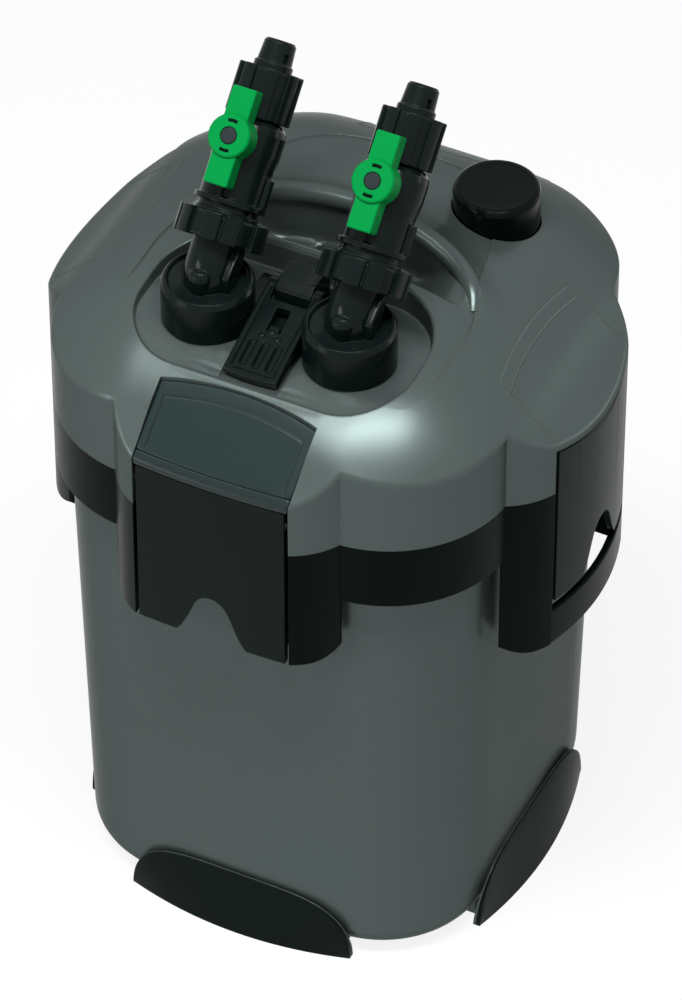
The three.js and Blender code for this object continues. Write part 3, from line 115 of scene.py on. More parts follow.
CAMERA_LENS, CAMERA_PLACE = 232.0, (0.9127, -1.8546, 2.0946)
CAMERA_RIGHT, CAMERA_BACK = (0.89761, 0.44080, 0.0), (0.32296, -0.65765, 0.68058)
AMBIENT, AMBIENT_COLOUR = 0.04, (0.93, 0.96, 1.0, 1)
FLOOR_REACH, FLOOR_COLOUR, FLOOR_GLOW, GLOW_SHARE = 6, (0.8, 0.81, 0.81, 1), 1.08, 0.8
LAMP_TARGET = (0, 0, 0.22)
LAMPS = {
    "key_lamp_left": ((-0.8, -0.42, 1.66), (0.4, 0.3), 2.6),
    "key_lamp": ((0.16, -0.46, 1.78), (1.1, 0.26), 26),
    "back_lamp": ((1.5, 1.25, 0.5), (0.8, 0.5), 3.0),
    "front_lamp": ((-1.0, -1.36, 1.0), (0.6, 0.3), 5.3),
    "low_lamp": ((-0.9, -1.55, 0.4), (0.8, 0.6), 3.7),
}


def add_object(name, data):
    thing = bpy.data.objects.new(name, data)
    scene.collection.objects.link(thing)
    return thing


def make_camera():
    """The photograph's own viewpoint, worked out from the filter's edges."""
    data = bpy.data.cameras.new("photo_camera")
    data.sensor_width = 36
    data.lens = CAMERA_LENS
    data.clip_start, data.clip_end = 0.1, 20
    right, back = Vector(CAMERA_RIGHT), Vector(CAMERA_BACK)
    turn = Matrix((right, back.cross(right), back)).transposed().to_4x4()
    scene.camera = add_object("photo_camera", data)
    scene.camera.matrix_world = Matrix.Translation(CAMERA_PLACE) @ turn


def make_lamp(name, place, size, power):
    """Rectangular lamp that points at the middle of the filter."""
    data = bpy.data.lights.new(name, "AREA")
    data.shape = "RECTANGLE"
    data.size, data.size_y = size
    data.energy = power
    lamp = add_object(name, data)
    lamp.location = place
    lamp.rotation_mode = "QUATERNION"
    lamp.rotation_quaternion = (Vector(place) - Vector(LAMP_TARGET)).to_track_quat("Z", "Y")


def make_world():
    """Dim light all round, and a pale studio for the camera, mirrors and glass."""
    scene.world = bpy.data.worlds.new("studio")
    scene.world.use_nodes = True
    tree = scene.world.node_tree
    tree.nodes.clear()
    around = add_node(tree, "ShaderNodeBackground", {"Color": AMBIENT_COLOUR, "Strength": AMBIENT})
    pale = add_node(tree, "ShaderNodeBackground", {"Strength": 1.0})
    mix_shaders(tree, seen_or_mirrored(tree), around, pale, "ShaderNodeOutputWorld")


def make_floor():
    """Pale floor that keeps the filter's shadow."""
    mesh = bpy.data.meshes.new("floor")
    signs = ((-1, -1), (1, -1), (1, 1), (-1, 1))
    mesh.from_pydata([(x * FLOOR_REACH, y * FLOOR_REACH, 0) for x, y in signs], [], [(0, 1, 2, 3)])
    material, tree = new_material("pale_floor")
    tree.nodes.clear()
    share = maths(tree, "MULTIPLY", seen_or_mirrored(tree), GLOW_SHARE)
    matt = add_node(tree, "ShaderNodeBsdfDiffuse", {"Color": FLOOR_COLOUR})
    bright = add_node(tree, "ShaderNodeEmission", {"Strength": FLOOR_GLOW})
    mix_shaders(tree, share, matt, bright, "ShaderNodeOutputMaterial")
    mesh.materials.append(material)
    add_object("floor", mesh)


scene.view_settings.view_transform = "Standard"
make_camera()
make_world()
make_floor()
for lamp_name, (lamp_place, lamp_size, lamp_power) in LAMPS.items():
    make_lamp(lamp_name, lamp_place, lamp_size, lamp_power)

# ---------------------------------------------------------------- finishes

DUST_COLOUR = (0.32, 0.33, 0.31, 1)
RUBBED_ROUGHNESS, GRAIN_STRENGTH = 0.16, 0.35
STEEL_COLOUR = (0.62, 0.63, 0.64, 1)


def new_group(name, inputs, outputs):
    """Shader node group with named sockets; inputs give their default values, or None for a vector."""
    kinds = {type(None): "Vector", tuple: "Color", float: "Float"}
    tree = bpy.data.node_groups.new(name, "ShaderNodeTree")
    for label, value in inputs.items():
        kind = "NodeSocket" + kinds[type(value)]
        socket = tree.interface.new_socket(label, in_out="INPUT", socket_type=kind)
        if value is not None:
            socket.default_value = value
    for label, kind in outputs.items():
        tree.interface.new_socket(label, in_out="OUTPUT", socket_type="NodeSocket" + kind)
    return tree, tree.nodes.new("NodeGroupInput").outputs, tree.nodes.new("NodeGroupOutput")


def make_moulded_group():
    """Spark-eroded grain and slow colour drift of a moulding."""
    tree, given, end = new_group(
        "moulded_surface",
        {"Vector": None, "Colour": (0.1, 0.1, 0.1, 1), "Drift": 0.06, "Roughness": 0.4,
         "Roughness Spread": 0.06, "Grain": 1400.0},
        {"Colour": "Color", "Roughness": "Float", "Height": "Float"})
    slow = noise(tree, given["Vector"], scale=9.0, detail=3.0)
    fine = noise(tree, given["Vector"], scale=given["Grain"], detail=1.0)
    both = maths(tree, "ADD", slow, maths(tree, "MULTIPLY", fine, 0.5))
    centred = maths(tree, "SUBTRACT", both, 0.75)
    drift = maths(tree, "MULTIPLY", given["Drift"], 2.0)
    factor = maths(tree, "ADD", maths(tree, "MULTIPLY", centred, drift), 1.0)
    colour = add_node(tree, "ShaderNodeVectorMath", {0: given["Colour"], "Scale": factor}, operation="SCALE")
    spread = maths(tree, "MULTIPLY", centred, given["Roughness Spread"])
    roughness = maths(tree, "ADD", given["Roughness"], spread)
    feed(tree, end, {"Colour": colour.outputs[0], "Roughness": roughness, "Height": fine})
    return tree


def make_handling_group():
    """Fine rubbed streaks that handling leaves: a mask from 0 to 1."""
    tree, given, end = new_group(
        "handling_marks", {"Vector": None, "Length": 12.0, "Amount": 0.3}, {"Mask": "Float"})
    stretched = add_node(tree, "ShaderNodeMapping", {
        "Vector": given["Vector"], "Rotation": (0.4, 0.7, 0.5), "Scale": (60, 1, 25)})
    streaks = noise(tree, stretched.outputs[0], scale=given["Length"], detail=3.0, rough=0.65)
    patches = noise(tree, given["Vector"], scale=30.0)
    both = maths(tree, "MULTIPLY", maths(tree, "POWER", streaks, 3.0), patches)
    mask = maths(tree, "MULTIPLY", both, maths(tree, "MULTIPLY", given["Amount"], 6.0))
    feed(tree, end, {"Mask": maths(tree, "MINIMUM", mask, 1.0)})
    return tree


def make_dust_group():
    """Thin dust that settles on faces turned upwards: a mask from 0 to 1."""
    tree, given, end = new_group("settled_dust", {"Vector": None, "Amount": 0.1}, {"Mask": "Float"})
    normal = tree.nodes.new("ShaderNodeNewGeometry").outputs["Normal"]
    upward = add_node(tree, "ShaderNodeSeparateXYZ", {0: normal}).outputs["Z"]
    cloud = noise(tree, given["Vector"], scale=45.0, detail=4.0, rough=0.6)
    cloudy = maths(tree, "MULTIPLY", maths(tree, "MAXIMUM", upward, 0.0), cloud)
    feed(tree, end, {"Mask": maths(tree, "MULTIPLY", cloudy, given["Amount"])})
    return tree


MOULDED, HANDLING, DUST = make_moulded_group(), make_handling_group(), make_dust_group()


def place_group(tree, group, **values):
    """A group's outputs in a material, with the material's own values."""
    values["Vector"] = tree.nodes.new("ShaderNodeTexCoord").outputs["Object"]
    return add_node(tree, "ShaderNodeGroup", values, node_tree=group).outputs


def moulding(name, colour, roughness, metallic=0.0, drift=0.06, grain=1400.0, relief=0.00002,
             edge=0.0005, marks=0.0, dust=0.0, gloss=0.15, rim_tint=1.0):
    """Moulded plastic or rubber with grain, rounded edges, rubbing marks and a little dust."""
    material, tree = new_material(name)
    body = place_group(tree, MOULDED, Colour=(*colour, 1), Drift=drift, Roughness=roughness, Grain=grain)
    shade, rough = body["Colour"], body["Roughness"]
    if marks:
        rubbed = place_group(tree, HANDLING, Amount=marks)["Mask"]
        rough = maths(tree, "ADD", rough, maths(tree, "MULTIPLY", rubbed, RUBBED_ROUGHNESS))
    if dust:
        settled = place_group(tree, DUST, Amount=dust)["Mask"]
        inputs = {"Factor": settled, "A": shade, "B": DUST_COLOUR}
        shade = add_node(tree, "ShaderNodeMix", inputs, data_type="RGBA").outputs["Result"]
    inputs = {"Strength": GRAIN_STRENGTH, "Distance": relief, "Height": body["Height"]}
    if edge:
        inputs["Normal"] = add_node(tree, "ShaderNodeBevel", {"Radius": edge}, samples=4).outputs["Normal"]
    feed(tree, tree.nodes["Principled BSDF"], {
        "Base Color": shade, "Roughness": rough, "Metallic": metallic, "Specular IOR Level": gloss,
        "Specular Tint": (rim_tint, rim_tint, rim_tint, 1),
        "Normal": add_node(tree, "ShaderNodeBump", inputs).outputs["Normal"]})
    return material


def drawn_steel(name):
    material, tree = new_material(name)
    body = place_group(tree, MOULDED, Colour=STEEL_COLOUR, Drift=0.1, Roughness=0.28, Grain=3000.0)
    feed(tree, tree.nodes["Principled BSDF"], {
        "Base Color": body["Colour"], "Roughness": body["Roughness"], "Metallic": 1.0})
    return material


MOULDINGS = {
    "silver_shell": dict(colour=(0.095, 0.120, 0.115), roughness=0.28, metallic=0.46, drift=0.025,
                         grain=2600.0, relief=0.000012, marks=0.05, gloss=0.03, rim_tint=0.3),
    "black_plastic": dict(colour=(0.0014, 0.0046, 0.0040), roughness=0.3, marks=0.3, dust=0.01, gloss=0.035),
    "latch_black": dict(colour=(0.0050, 0.0105, 0.0095), roughness=0.33, marks=0.3, dust=0.01, gloss=0.06),
    "fitting_black": dict(colour=(0.0035, 0.0085, 0.0076), roughness=0.17, marks=0.2, dust=0.01, gloss=0.11),
    "button_black": dict(colour=(0.0012, 0.0036, 0.0031), roughness=0.15, marks=0.2, dust=0.008, gloss=0.07),
    "pad_edge": dict(colour=(0.009, 0.021, 0.020), roughness=0.2, grain=2200.0, edge=0.0003, marks=0.03,
                     gloss=0.3),
    "basket_plastic": dict(colour=(0.014, 0.017, 0.016), roughness=0.55),
    "foot_cover": dict(colour=(0.0026, 0.0068, 0.0058), roughness=0.36, grain=1800.0, marks=0.2, dust=0.01,
                       gloss=0.06),
    "dark_pad": dict(colour=(0.012, 0.027, 0.027), roughness=0.26, grain=2200.0, marks=0.03, gloss=0.2),
    "seal_rubber": dict(colour=(0.010, 0.011, 0.011), roughness=0.75, relief=0.00004),
    "green_lever": dict(colour=(0.0006, 0.280, 0.055), roughness=0.4, drift=0.04, grain=1700.0, marks=0.2,
                        gloss=0.04),
    "lever_cap": dict(colour=(0.022, 0.030, 0.031), roughness=0.55, grain=1700.0, gloss=0.1),
    "inner_plastic": dict(colour=(0.15, 0.17, 0.175), roughness=0.5),
    "magnet": dict(colour=(0.045, 0.045, 0.052), roughness=0.45),
    "ceramic_shaft": dict(colour=(0.78, 0.75, 0.68), roughness=0.3, grain=4000.0),
    "ceramic_rings": dict(colour=(0.66, 0.60, 0.50), roughness=0.9, drift=0.2, grain=500.0, relief=0.0003),
    "bio_balls": dict(colour=(0.025, 0.027, 0.030), roughness=0.6, grain=300.0, relief=0.0003),
    "foam": dict(colour=(0.012, 0.020, 0.045), roughness=0.95, drift=0.2, grain=700.0, relief=0.0006),
}
FINISHES = {name: moulding(name, **look) for name, look in MOULDINGS.items()}
FINISHES.update((name, drawn_steel(name)) for name in ("steel_pin", "spring_wire"))
slot_of = {row["node"]: row["material_slot"] for row in frame["record"]["subparts"]}
for node_name, node in frame["nodes"].items():
    node.data.materials.clear()
    node.data.materials.append(FINISHES[slot_of[node_name]])

# ---------------------------------------------------------------- making tools, in millimetres

WELD_DISTANCE = 1e-4
SMOOTH_ANGLE = 32
AXES = {"Z": (0, 1, 2), "X": (2, 0, 1), "Y": (0, 2, 1)}


def new_piece(name, points, faces):
    """Object with a welded mesh of its own."""
    mesh = bpy.data.meshes.new(name)
    mesh.from_pydata([tuple(map(float, p)) for p in points], [], [tuple(map(int, f)) for f in faces])
    return weld(add_object(name, mesh))


def weld(piece):
    """Joins doubled points and turns the faces outwards."""
    work = bmesh.new()
    work.from_mesh(piece.data)
    bmesh.ops.remove_doubles(work, verts=work.verts, dist=WELD_DISTANCE)
    bmesh.ops.recalc_face_normals(work, faces=work.faces)
    work.to_mesh(piece.data)
    work.free()
    return piece


def bake(piece):
    """Turns the piece's modifiers into its plain mesh."""
    depsgraph = bpy.context.evaluated_depsgraph_get()
    mesh = bpy.data.meshes.new_from_object(piece.evaluated_get(depsgraph), depsgraph=depsgraph)
    piece.modifiers.clear()
    piece.data = mesh
    return piece


def combine(piece, tools, operation):
    """Joins or cuts closed solids; the tools are used up."""
    for tool in tools:
        modifier = piece.modifiers.new("combine", "BOOLEAN")
        modifier.solver = "MANIFOLD"
        modifier.operation = operation
        modifier.object = tool
        bake(piece)
        bpy.data.objects.remove(tool)
    return piece


def cut(piece, *tools):
    return combine(piece, tools, "DIFFERENCE")


def fuse(piece, *tools):
    return combine(piece, tools, "UNION")


def keep_common(piece, *tools):
    return combine(piece, tools, "INTERSECT")


def soften(piece, width, segments=3, angle=35):
    """Rounds the piece's sharp edges."""
    modifier = piece.modifiers.new("soften", "BEVEL")
    modifier.width = width
    modifier.segments = segments
    modifier.limit_method = "ANGLE"
    modifier.angle_limit = math.radians(angle)
    modifier.miter_outer = "MITER_ARC"
    return bake(piece)


def group_pieces(name, pieces):
    """One piece from several, side by side in one mesh."""
    work = bmesh.new()
    for piece in pieces:
        work.from_mesh(piece.data)
        bpy.data.objects.remove(piece)
    mesh = bpy.data.meshes.new(name)
    work.to_mesh(mesh)
    work.free()
    return add_object(name, mesh)


def move(piece, matrix):
    piece.data.transform(matrix)
    return piece


def shift(piece, x, y, z=0.0):
    return move(piece, Matrix.Translation((x, y, z)))


def to_side(piece, side):
    """Turns a piece that was made on the front side round to another side."""
    return move(piece, Matrix.Rotation(side * math.pi / 2, 4, "Z"))


def settle(piece, name, body, slot, replaced=None, finish=None):
    """Finished piece: in metres, named, shaded, painted and riding on its body."""
    piece.name = name
    piece.data.transform(Matrix.Scale(0.001, 4))
    piece.data.polygons.foreach_set("use_smooth", [True] * len(piece.data.polygons))
    piece.data.set_sharp_from_angle(angle=math.radians(SMOOTH_ANGLE))
    piece.modifiers.new("level_faces", "WEIGHTED_NORMAL").keep_sharp = True
    bake(piece)
    piece.data.name = name
    piece.data.materials.clear()
    piece.data.materials.append(FINISHES[finish or slot])
    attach(piece, body)
    if replaced:
        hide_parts(replaced)
    return piece


def arc(centre, radius, start, end, steps):
    """Points of an arc in plan; angles in degrees."""
    angles = np.radians(np.linspace(start, end, steps + 1))
    return [(centre[0] + radius * math.cos(a), centre[1] + radius * math.sin(a)) for a in angles]


def rounded_box_line(x0, x1, y0, y1, radius, steps=8):
    """Closed line round a rectangle with round corners, anticlockwise."""
    west, east, south, north = x0 + radius, x1 - radius, y0 + radius, y1 - radius
    corners = [(east, south), (east, north), (west, north), (west, south)]
    return [p for k, corner in enumerate(corners) for p in arc(corner, radius, 90 * k - 90, 90 * k, steps)]


def circle_line(radius, centre, steps):
    return [(centre[0] + radius * math.cos(a), centre[1] + radius * math.sin(a))
            for a in 2 * np.pi * np.arange(steps) / steps]


def rounded_corners(points, radius, steps=4, closed=True):
    """Plan line or profile whose corners are rounded as far as their sides allow."""
    points = [np.array(p, float) for p in points]
    made = []
    for i, corner in enumerate(points):
        if not closed and i in (0, len(points) - 1):
            made.append(corner)
            continue
        before, after = points[i - 1] - corner, points[(i + 1) % len(points)] - corner
        room = min(np.linalg.norm(before), np.linalg.norm(after)) * 0.48
        before, after = before / np.linalg.norm(before), after / np.linalg.norm(after)
        half = math.acos(max(-1.0, min(1.0, float(before @ after)))) / 2
        reach = min(radius / max(math.tan(half), 1e-3), room)
        if reach < 1e-3 or half > 1.54:
            made.append(corner)
            continue
        start, end = corner + before * reach, corner + after * reach
        for t in np.linspace(0, 1, steps + 1):
            made.append((1 - t) ** 2 * start + 2 * t * (1 - t) * corner + t * t * end)
    return made


def loft(name, rings, closed=False):
    """Skin through rings with the same number of points; closed joins the last ring to the first."""
    count = len(rings[0])
    points = [p for ring in rings for p in ring]
    faces = []
    for k in range(len(rings) if closed else len(rings) - 1):
        low, high = k * count, (k + 1) % len(rings) * count
        for i in range(count):
            j = (i + 1) % count
            faces.append((low + i, low + j, high + j, high + i))
    if not closed:
        faces += [range(count - 1, -1, -1), range(len(points) - count, len(points))]
    return new_piece(name, points, faces)


def revolve(name, profile, segments=64, radius=0.0, steps=4):
    """Solid of revolution round Z; its profile starts and ends on the axis, or closes on itself."""
    closed = bool(np.allclose(profile[0], profile[-1]))
    if radius:
        profile = rounded_corners(profile[:-1] if closed else profile, radius, steps, closed)
        if closed:
            profile = profile + [profile[0]]
    angles = 2 * np.pi * np.arange(segments) / segments
    points, rows, faces = [], [], []
    for r, z in profile[:-1] if closed else profile:
        if r < 1e-6:
            rows.append([len(points)] * segments)
            points.append((0, 0, z))
        else:
            rows.append(list(range(len(points), len(points) + segments)))
            points.extend((r * math.cos(a), r * math.sin(a), z) for a in angles)
    if closed:
        rows.append(rows[0])
    for low, high in zip(rows, rows[1:]):
        for i in range(segments):
            j = (i + 1) % segments
            face = [low[i], low[j], high[j], high[i]]
            face = [v for n, v in enumerate(face) if v not in face[:n]]
            if len(face) > 2:
                faces.append(face)
    return new_piece(name, points, faces)


def prism(name, outline, low, high, axis="Z"):
    """Straight solid on an outline: drawn in X and Y, or for axis X in Y and Z, or for axis Y in X and Z."""
    rings = [[tuple((u, v, w)[k] for k in AXES[axis]) for u, v in outline] for w in (low, high)]
    return loft(name, rings)


def block(name, x0, x1, y0, y1, z0, z1):
    return prism(name, [(x0, y0), (x1, y0), (x1, y1), (x0, y1)], z0, z1)


def rod(name, radius, start, end, segments=32):
    """Round bar between two points."""
    start, end = Vector(start), Vector(end)
    length = (end - start).length
    piece = revolve(name, [(0, 0), (radius, 0), (radius, length), (0, length)], segments)
    turn = (end - start).to_track_quat("Z", "Y").to_matrix().to_4x4()
    return move(piece, Matrix.Translation(start) @ turn)


def upright_rod(name, radius, low, high, place, segments=64):
    """Upright round bar at a place in plan."""
    return shift(revolve(name, [(0, low), (radius, low), (radius, high), (0, high)], segments), *place)


def cross_rod(name, radius, half, y, z, segments=32):
    """Round bar along X, as far to the left as to the right."""
    return rod(name, radius, (-half, y, z), (half, y, z), segments)


def tube(name, path, radii, sides=32):
    """Round bar along a path, with its own radius at each point."""
    path = [Vector(p) for p in path]
    side = (path[1] - path[0]).normalized().orthogonal().normalized()
    rings = []
    for i, (point, radius) in enumerate(zip(path, np.broadcast_to(radii, len(path)))):
        ahead = (path[min(i + 1, len(path) - 1)] - path[max(i - 1, 0)]).normalized()
        side = (side - ahead * side.dot(ahead)).normalized()
        other = ahead.cross(side)
        rings.append([point + (side * math.cos(a) + other * math.sin(a)) * radius
                      for a in 2 * np.pi * np.arange(sides) / sides])
    return loft(name, rings)


def smooth_path(points, count):
    """Evenly spread points of a smooth line through the given ones."""
    points = [np.array(p, float) for p in points]
    padded = [2 * points[0] - points[1], *points, 2 * points[-1] - points[-2]]
    fine = []
    for a, b, c, d in zip(padded, padded[1:], padded[2:], padded[3:]):
        for t in np.linspace(0, 1, 24, endpoint=False):
            fine.append(0.5 * (2 * b + (c - a) * t + (2 * a - 5 * b + 4 * c - d) * t ** 2
                               + (3 * b - 3 * c + d - a) * t ** 3))
    fine = np.array([*fine, points[-1]])
    along = np.concatenate([[0], np.cumsum(np.linalg.norm(np.diff(fine, axis=0), axis=1))])
    wanted = np.linspace(0, along[-1], count)
    return np.stack([np.interp(wanted, along, fine[:, k]) for k in range(fine.shape[1])], 1)


# ---------------------------------------------------------------- skins that follow a height rule


def smooth_step(low, high, value):
    t = np.clip((value - low) / (high - low), 0, 1)
    return t * t * (3 - 2 * t)


def offset_loop(points, distance):
    """Closed plan line, anticlockwise, moved inwards by a distance."""
    points = np.asarray(points, float)
    ahead = np.roll(points, -1, 0) - points
    ahead /= np.linalg.norm(ahead, axis=1)[:, None]
    normal = np.stack([-ahead[:, 1], ahead[:, 0]], 1)
    both = normal + np.roll(normal, 1, 0)
    return points + distance * both * (2 / np.maximum((both ** 2).sum(1), 1.0))[:, None]


def beside(points, distance):
    """Open plan line moved sideways by a distance."""
    points = np.asarray(points, float)
    ahead = np.diff(points, axis=0)
    ahead /= np.linalg.norm(ahead, axis=1)[:, None]
    normal = np.stack([-ahead[:, 1], ahead[:, 0]], 1)
    both = np.vstack([2 * normal[:1], normal[1:] + normal[:-1], 2 * normal[-1:]])
    return points + distance * both * (2 / (both ** 2).sum(1))[:, None]


def segment_distance(xy, starts, ends):
    """Least distance from each point to any of the segments."""
    best = np.full(len(xy), 1e9)
    for start, end in zip(starts, ends):
        along = end - start
        t = np.clip(((xy - start) @ along) / max(along @ along, 1e-12), 0, 1)
        best = np.minimum(best, np.hypot(*(xy - start - t[:, None] * along).T))
    return best


def inside(xy, loop):
    """Whether each point lies in a closed plan line."""
    result = np.zeros(len(xy), bool)
    for (x0, y0), (x1, y1) in zip(loop, np.roll(loop, -1, 0)):
        if y0 == y1:
            continue
        crosses = (y0 > xy[:, 1]) != (y1 > xy[:, 1])
        at = x0 + (xy[:, 1] - y0) * (x1 - x0) / (y1 - y0)
        result ^= crosses & (xy[:, 0] < at)
    return result


def loop_depth(xy, loop):
    """Distance inside a closed plan line, negative outside it."""
    loop = np.asarray(loop, float)
    distance = segment_distance(xy, loop, np.roll(loop, -1, 0))
    return np.where(inside(xy, loop), distance, -distance)


def box_depth(xy, x0, x1, y0, y1, radius):
    """Distance inside a rectangle with round corners, negative outside it."""
    centre = np.array([(x0 + x1) / 2, (y0 + y1) / 2])
    half = np.array([(x1 - x0) / 2, (y1 - y0) / 2])
    q = np.abs(xy - centre) - half + radius
    return radius - np.hypot(*np.maximum(q, 0).T) - np.minimum(q.max(1), 0)


def sink(top, floor, depth, rim, wall, foot):
    """Height over a sunk place: round rim, steep wall and round foot, by the distance inside its edge."""
    fall = np.maximum(top - floor, 0)
    rim = np.minimum(rim, 0.45 * fall)
    foot = np.minimum(foot, 0.45 * fall)
    on_rim = top - rim + np.sqrt(np.maximum(rim ** 2 - np.minimum(depth + rim, rim) ** 2, 0))
    share = np.clip(depth / wall, 0, 1)
    on_wall = (top - rim) * (1 - share) + (top - fall + foot) * share
    rest = np.clip(wall + foot - depth, 0, foot)
    on_foot = top - fall + foot - np.sqrt(np.maximum(foot ** 2 - rest ** 2, 0))
    height = np.select([depth <= -rim, depth <= 0, depth < wall], [top, on_rim, on_wall], on_foot)
    return np.where(fall > 0, height, top)


def edge_lines(loop, distances):
    """Closed lines beside a plan loop, with their mark as closed."""
    return [(offset_loop(loop, d), True) for d in distances]


def skin_faces(loop, lines, spacing):
    """Triangles over the inside of a plan loop that keep every line as an edge."""
    points, edges, starts, ends = [], [], [], []
    for line, closed in [(loop, True), *lines]:
        line = np.asarray(line, float)
        first, count = len(points), len(line)
        points.extend(line)
        pairs = [(i, (i + 1) % count) for i in range(count if closed else count - 1)]
        edges.extend((first + i, first + j) for i, j in pairs)
        starts.extend(line[i] for i, _ in pairs)
        ends.extend(line[j] for _, j in pairs)
    low, high = loop.min(0), loop.max(0)
    grid = np.array([
        (x, y) for n, y in enumerate(np.arange(low[1], high[1], spacing * 0.866))
        for x in np.arange(low[0] + (n % 2) * spacing / 2, high[0], spacing)])
    grid = grid[inside(grid, loop)]
    grid = grid[segment_distance(grid, starts, ends) > 0.45 * spacing]
    everything = [Vector(p) for p in [*points, *grid]]
    made, _, faces, *_ = delaunay_2d_cdt(everything, edges, [], 0, 1e-5)
    made = np.array([tuple(p) for p in made])
    faces = np.array([tuple(f) for f in faces])
    return made, faces[inside(made[faces].mean(1), loop)]


def skin_solid(name, outline, height, low, lines=(), rim=1.0, spacing=3.0, steps=5):
    """Closed solid on a plan outline. Its top follows height(points), with a round rim, down to low."""
    outline = np.asarray(outline, float)
    angles = np.linspace(math.pi / 2, 0, steps)
    rows = [(offset_loop(outline, rim * (1 - math.cos(a))), rim * (1 - math.sin(a))) for a in angles]
    plan, faces = skin_faces(rows[0][0], lines, spacing)
    points, faces = list(np.column_stack([plan, height(plan)])), list(faces)
    count, first = len(outline), len(points)
    for row, drop in rows:
        points.extend(np.column_stack([row, height(row) - drop]))
    points.extend(np.column_stack([outline, low(outline) if callable(low) else np.full(count, low)]))
    for start in range(first, len(points) - count, count):
        for i in range(count):
            a, b = start + i, start + (i + 1) % count
            faces.append((a, a + count, b + count, b))
    if callable(low):
        plan, under = skin_faces(outline, (), spacing)
        faces.extend(len(points) + face[::-1] for face in under)
        points.extend(np.column_stack([plan, low(plan)]))
    else:
        faces.append(range(len(points) - count, len(points)))
    return new_piece(name, points, faces)


# ---------------------------------------------------------------- head cover

HEAD_HALF, HEAD_CORNER = 104.7, 57
BAND_TOP = 257.5
ABOVE = 400
DOME_TOP, DOME_DROP, DOME_DIAGONAL, DOME_POWER = 328, 29.6, 6, 2.9
ROUND_TO_SQUARE, DOME_TO_PAD = (45, 80), (100, 118)
BAY_REACH, BAY_HALF, EAR_HALF, EAR_BELLY = 120, 36.3, 52.7, 1.8
BULGES = [1, 6.3, 1, 6.3]
PAD_OUTER_Z, PAD_SLOPE, PAD_INNER, PAD_CROWN, PAD_DEPTH = 284, 0.793, 92.5, 4, 2.9
PAD_EDGE, PAD_STRIP = 34.7, 5.4
BEAD_HALF, BEAD_RISE, GROOVE_HALF, GROOVE_DEPTH = 0.38, 0.3, 0.3, 0.45
WELL = (-63.5, 63.5, -86.4, -16)
WELL_CORNER, WELL_FLOOR, WELL_LOW, WELL_RAMP, LANE = 29.5, 313.2, 309, (-70, -90), 13.8
LIP = [(68.5, -10), (64, -1.5), (56, 6), (45, 11.8), (31, 16.4), (16, 19.8), (0, 21)]
LIP = LIP + [(-x, y) for x, y in LIP[-2::-1]]
LIP_RADIUS, LIP_RISE, LIP_SPREAD, LIP_ENDS_DROP = 4.6, 0.6, 15, 3.2
RECESS_FLOOR, RECESS_FRONT, RECESS_INSET, RECESS_FADE = 305, -12.4, 2.4, (30, 65)
SCOOP, SCOOP_CORNER, SCOOP_FLOOR = (-17.5, 17.5, -8, 15), 7, 296.0
SCOOP_WALL = (-20.5, 20.5, -11, 31, 292)
BUTTON, BUTTON_RADIUS = (51, 50), 18.8
BUTTON_HOLE, BUTTON_BOSS, BUTTON_BOSS_LOW = 19.3, 24.5, 295
TAP_X, CUP_Y = 33, -55
SOCKET_BORE, SOCKET_WALL, SOCKET_LOW = 14.5, 17.1, 284
PIVOT_REACH, PIVOT_Z, PIN_RADIUS = 115.5, 269.9, 1.5
GLAND_X, GLAND_Z, GLAND_WALL_Y, GLAND_RADIUS, GLAND_NECK, GLAND_BORE = -70, 272, 100.16, 7.5, 5.5, 3.3
CHAMBER = [(101.7, BAND_TOP - 1), (101.7, 283), (84, 300)]
COVER_RIM, RUNNING_GAP = 1.3, 0.3
CREASE = [(72, -62), (72.5, -40), (72, -20), (65, 3), (57, 34), (48, 56), (30, 72), (0, 78)]
CREASE = CREASE + [(-x, y) for x, y in CREASE[-2::-1]]
CREASE_DEPTH, CREASE_SPREAD, CREASE_FADE = 0.75, 9, (-66, -38)


def turned(line, side):
    """Plan line that was drawn on the front side, on another side."""
    angle = side * math.pi / 2
    turn = np.array([[math.cos(angle), -math.sin(angle)], [math.sin(angle), math.cos(angle)]])
    return [turn @ np.array(p) for p in line]


def corner_square(half, corner, steps=16, straight=10):
    """Plan of a square with round corners, with extra points along its sides."""
    middle = half - corner
    part = [(x, -half) for x in np.linspace(-middle, middle, straight + 2)[1:-1]]
    part += arc((middle, -middle), corner, -90, 0, steps)
    return np.array([p for side in range(4) for p in turned(part, side)])


def pad_height(reach):
    """Height of the pads' common slope at a reach from the middle."""
    return PAD_OUTER_Z + (BAY_REACH - reach) * PAD_SLOPE


def deck_height(xy):
    """Dome of the head, carried on over the four latch bays."""
    ax, ay = np.abs(xy[:, 0]), np.abs(xy[:, 1])
    middle = HEAD_HALF - HEAD_CORNER
    cx, cy = np.maximum(ax - middle, 0), np.maximum(ay - middle, 0)
    reach = np.maximum(ax, ay)
    square = np.where((cx > 0) & (cy > 0), middle + np.hypot(cx, cy), reach)
    round_square = (ax ** 4 + ay ** 4) ** 0.25
    distance = round_square + (square - round_square) * smooth_step(*ROUND_TO_SQUARE, square)
    diagonal = (2 * ax * ay / np.maximum(ax ** 2 + ay ** 2, 1)) ** 6
    dome = DOME_TOP - (DOME_DROP + DOME_DIAGONAL * diagonal) * (distance / HEAD_HALF) ** DOME_POWER
    return dome + (pad_height(reach) - dome) * smooth_step(*DOME_TO_PAD, reach)


def pad_inner(u):
    """Reach of a pad's bowed inner edge at a place along it."""
    return PAD_INNER - PAD_CROWN * (1 - (u / BAY_HALF) ** 2)


def bowed(side, u, inset=0.0):
    """Reach of a bay's bowed outer edge at a place along it, moved inwards by an inset."""
    return BAY_REACH - inset + BULGES[side] * (1 - (u / BAY_HALF) ** 2)


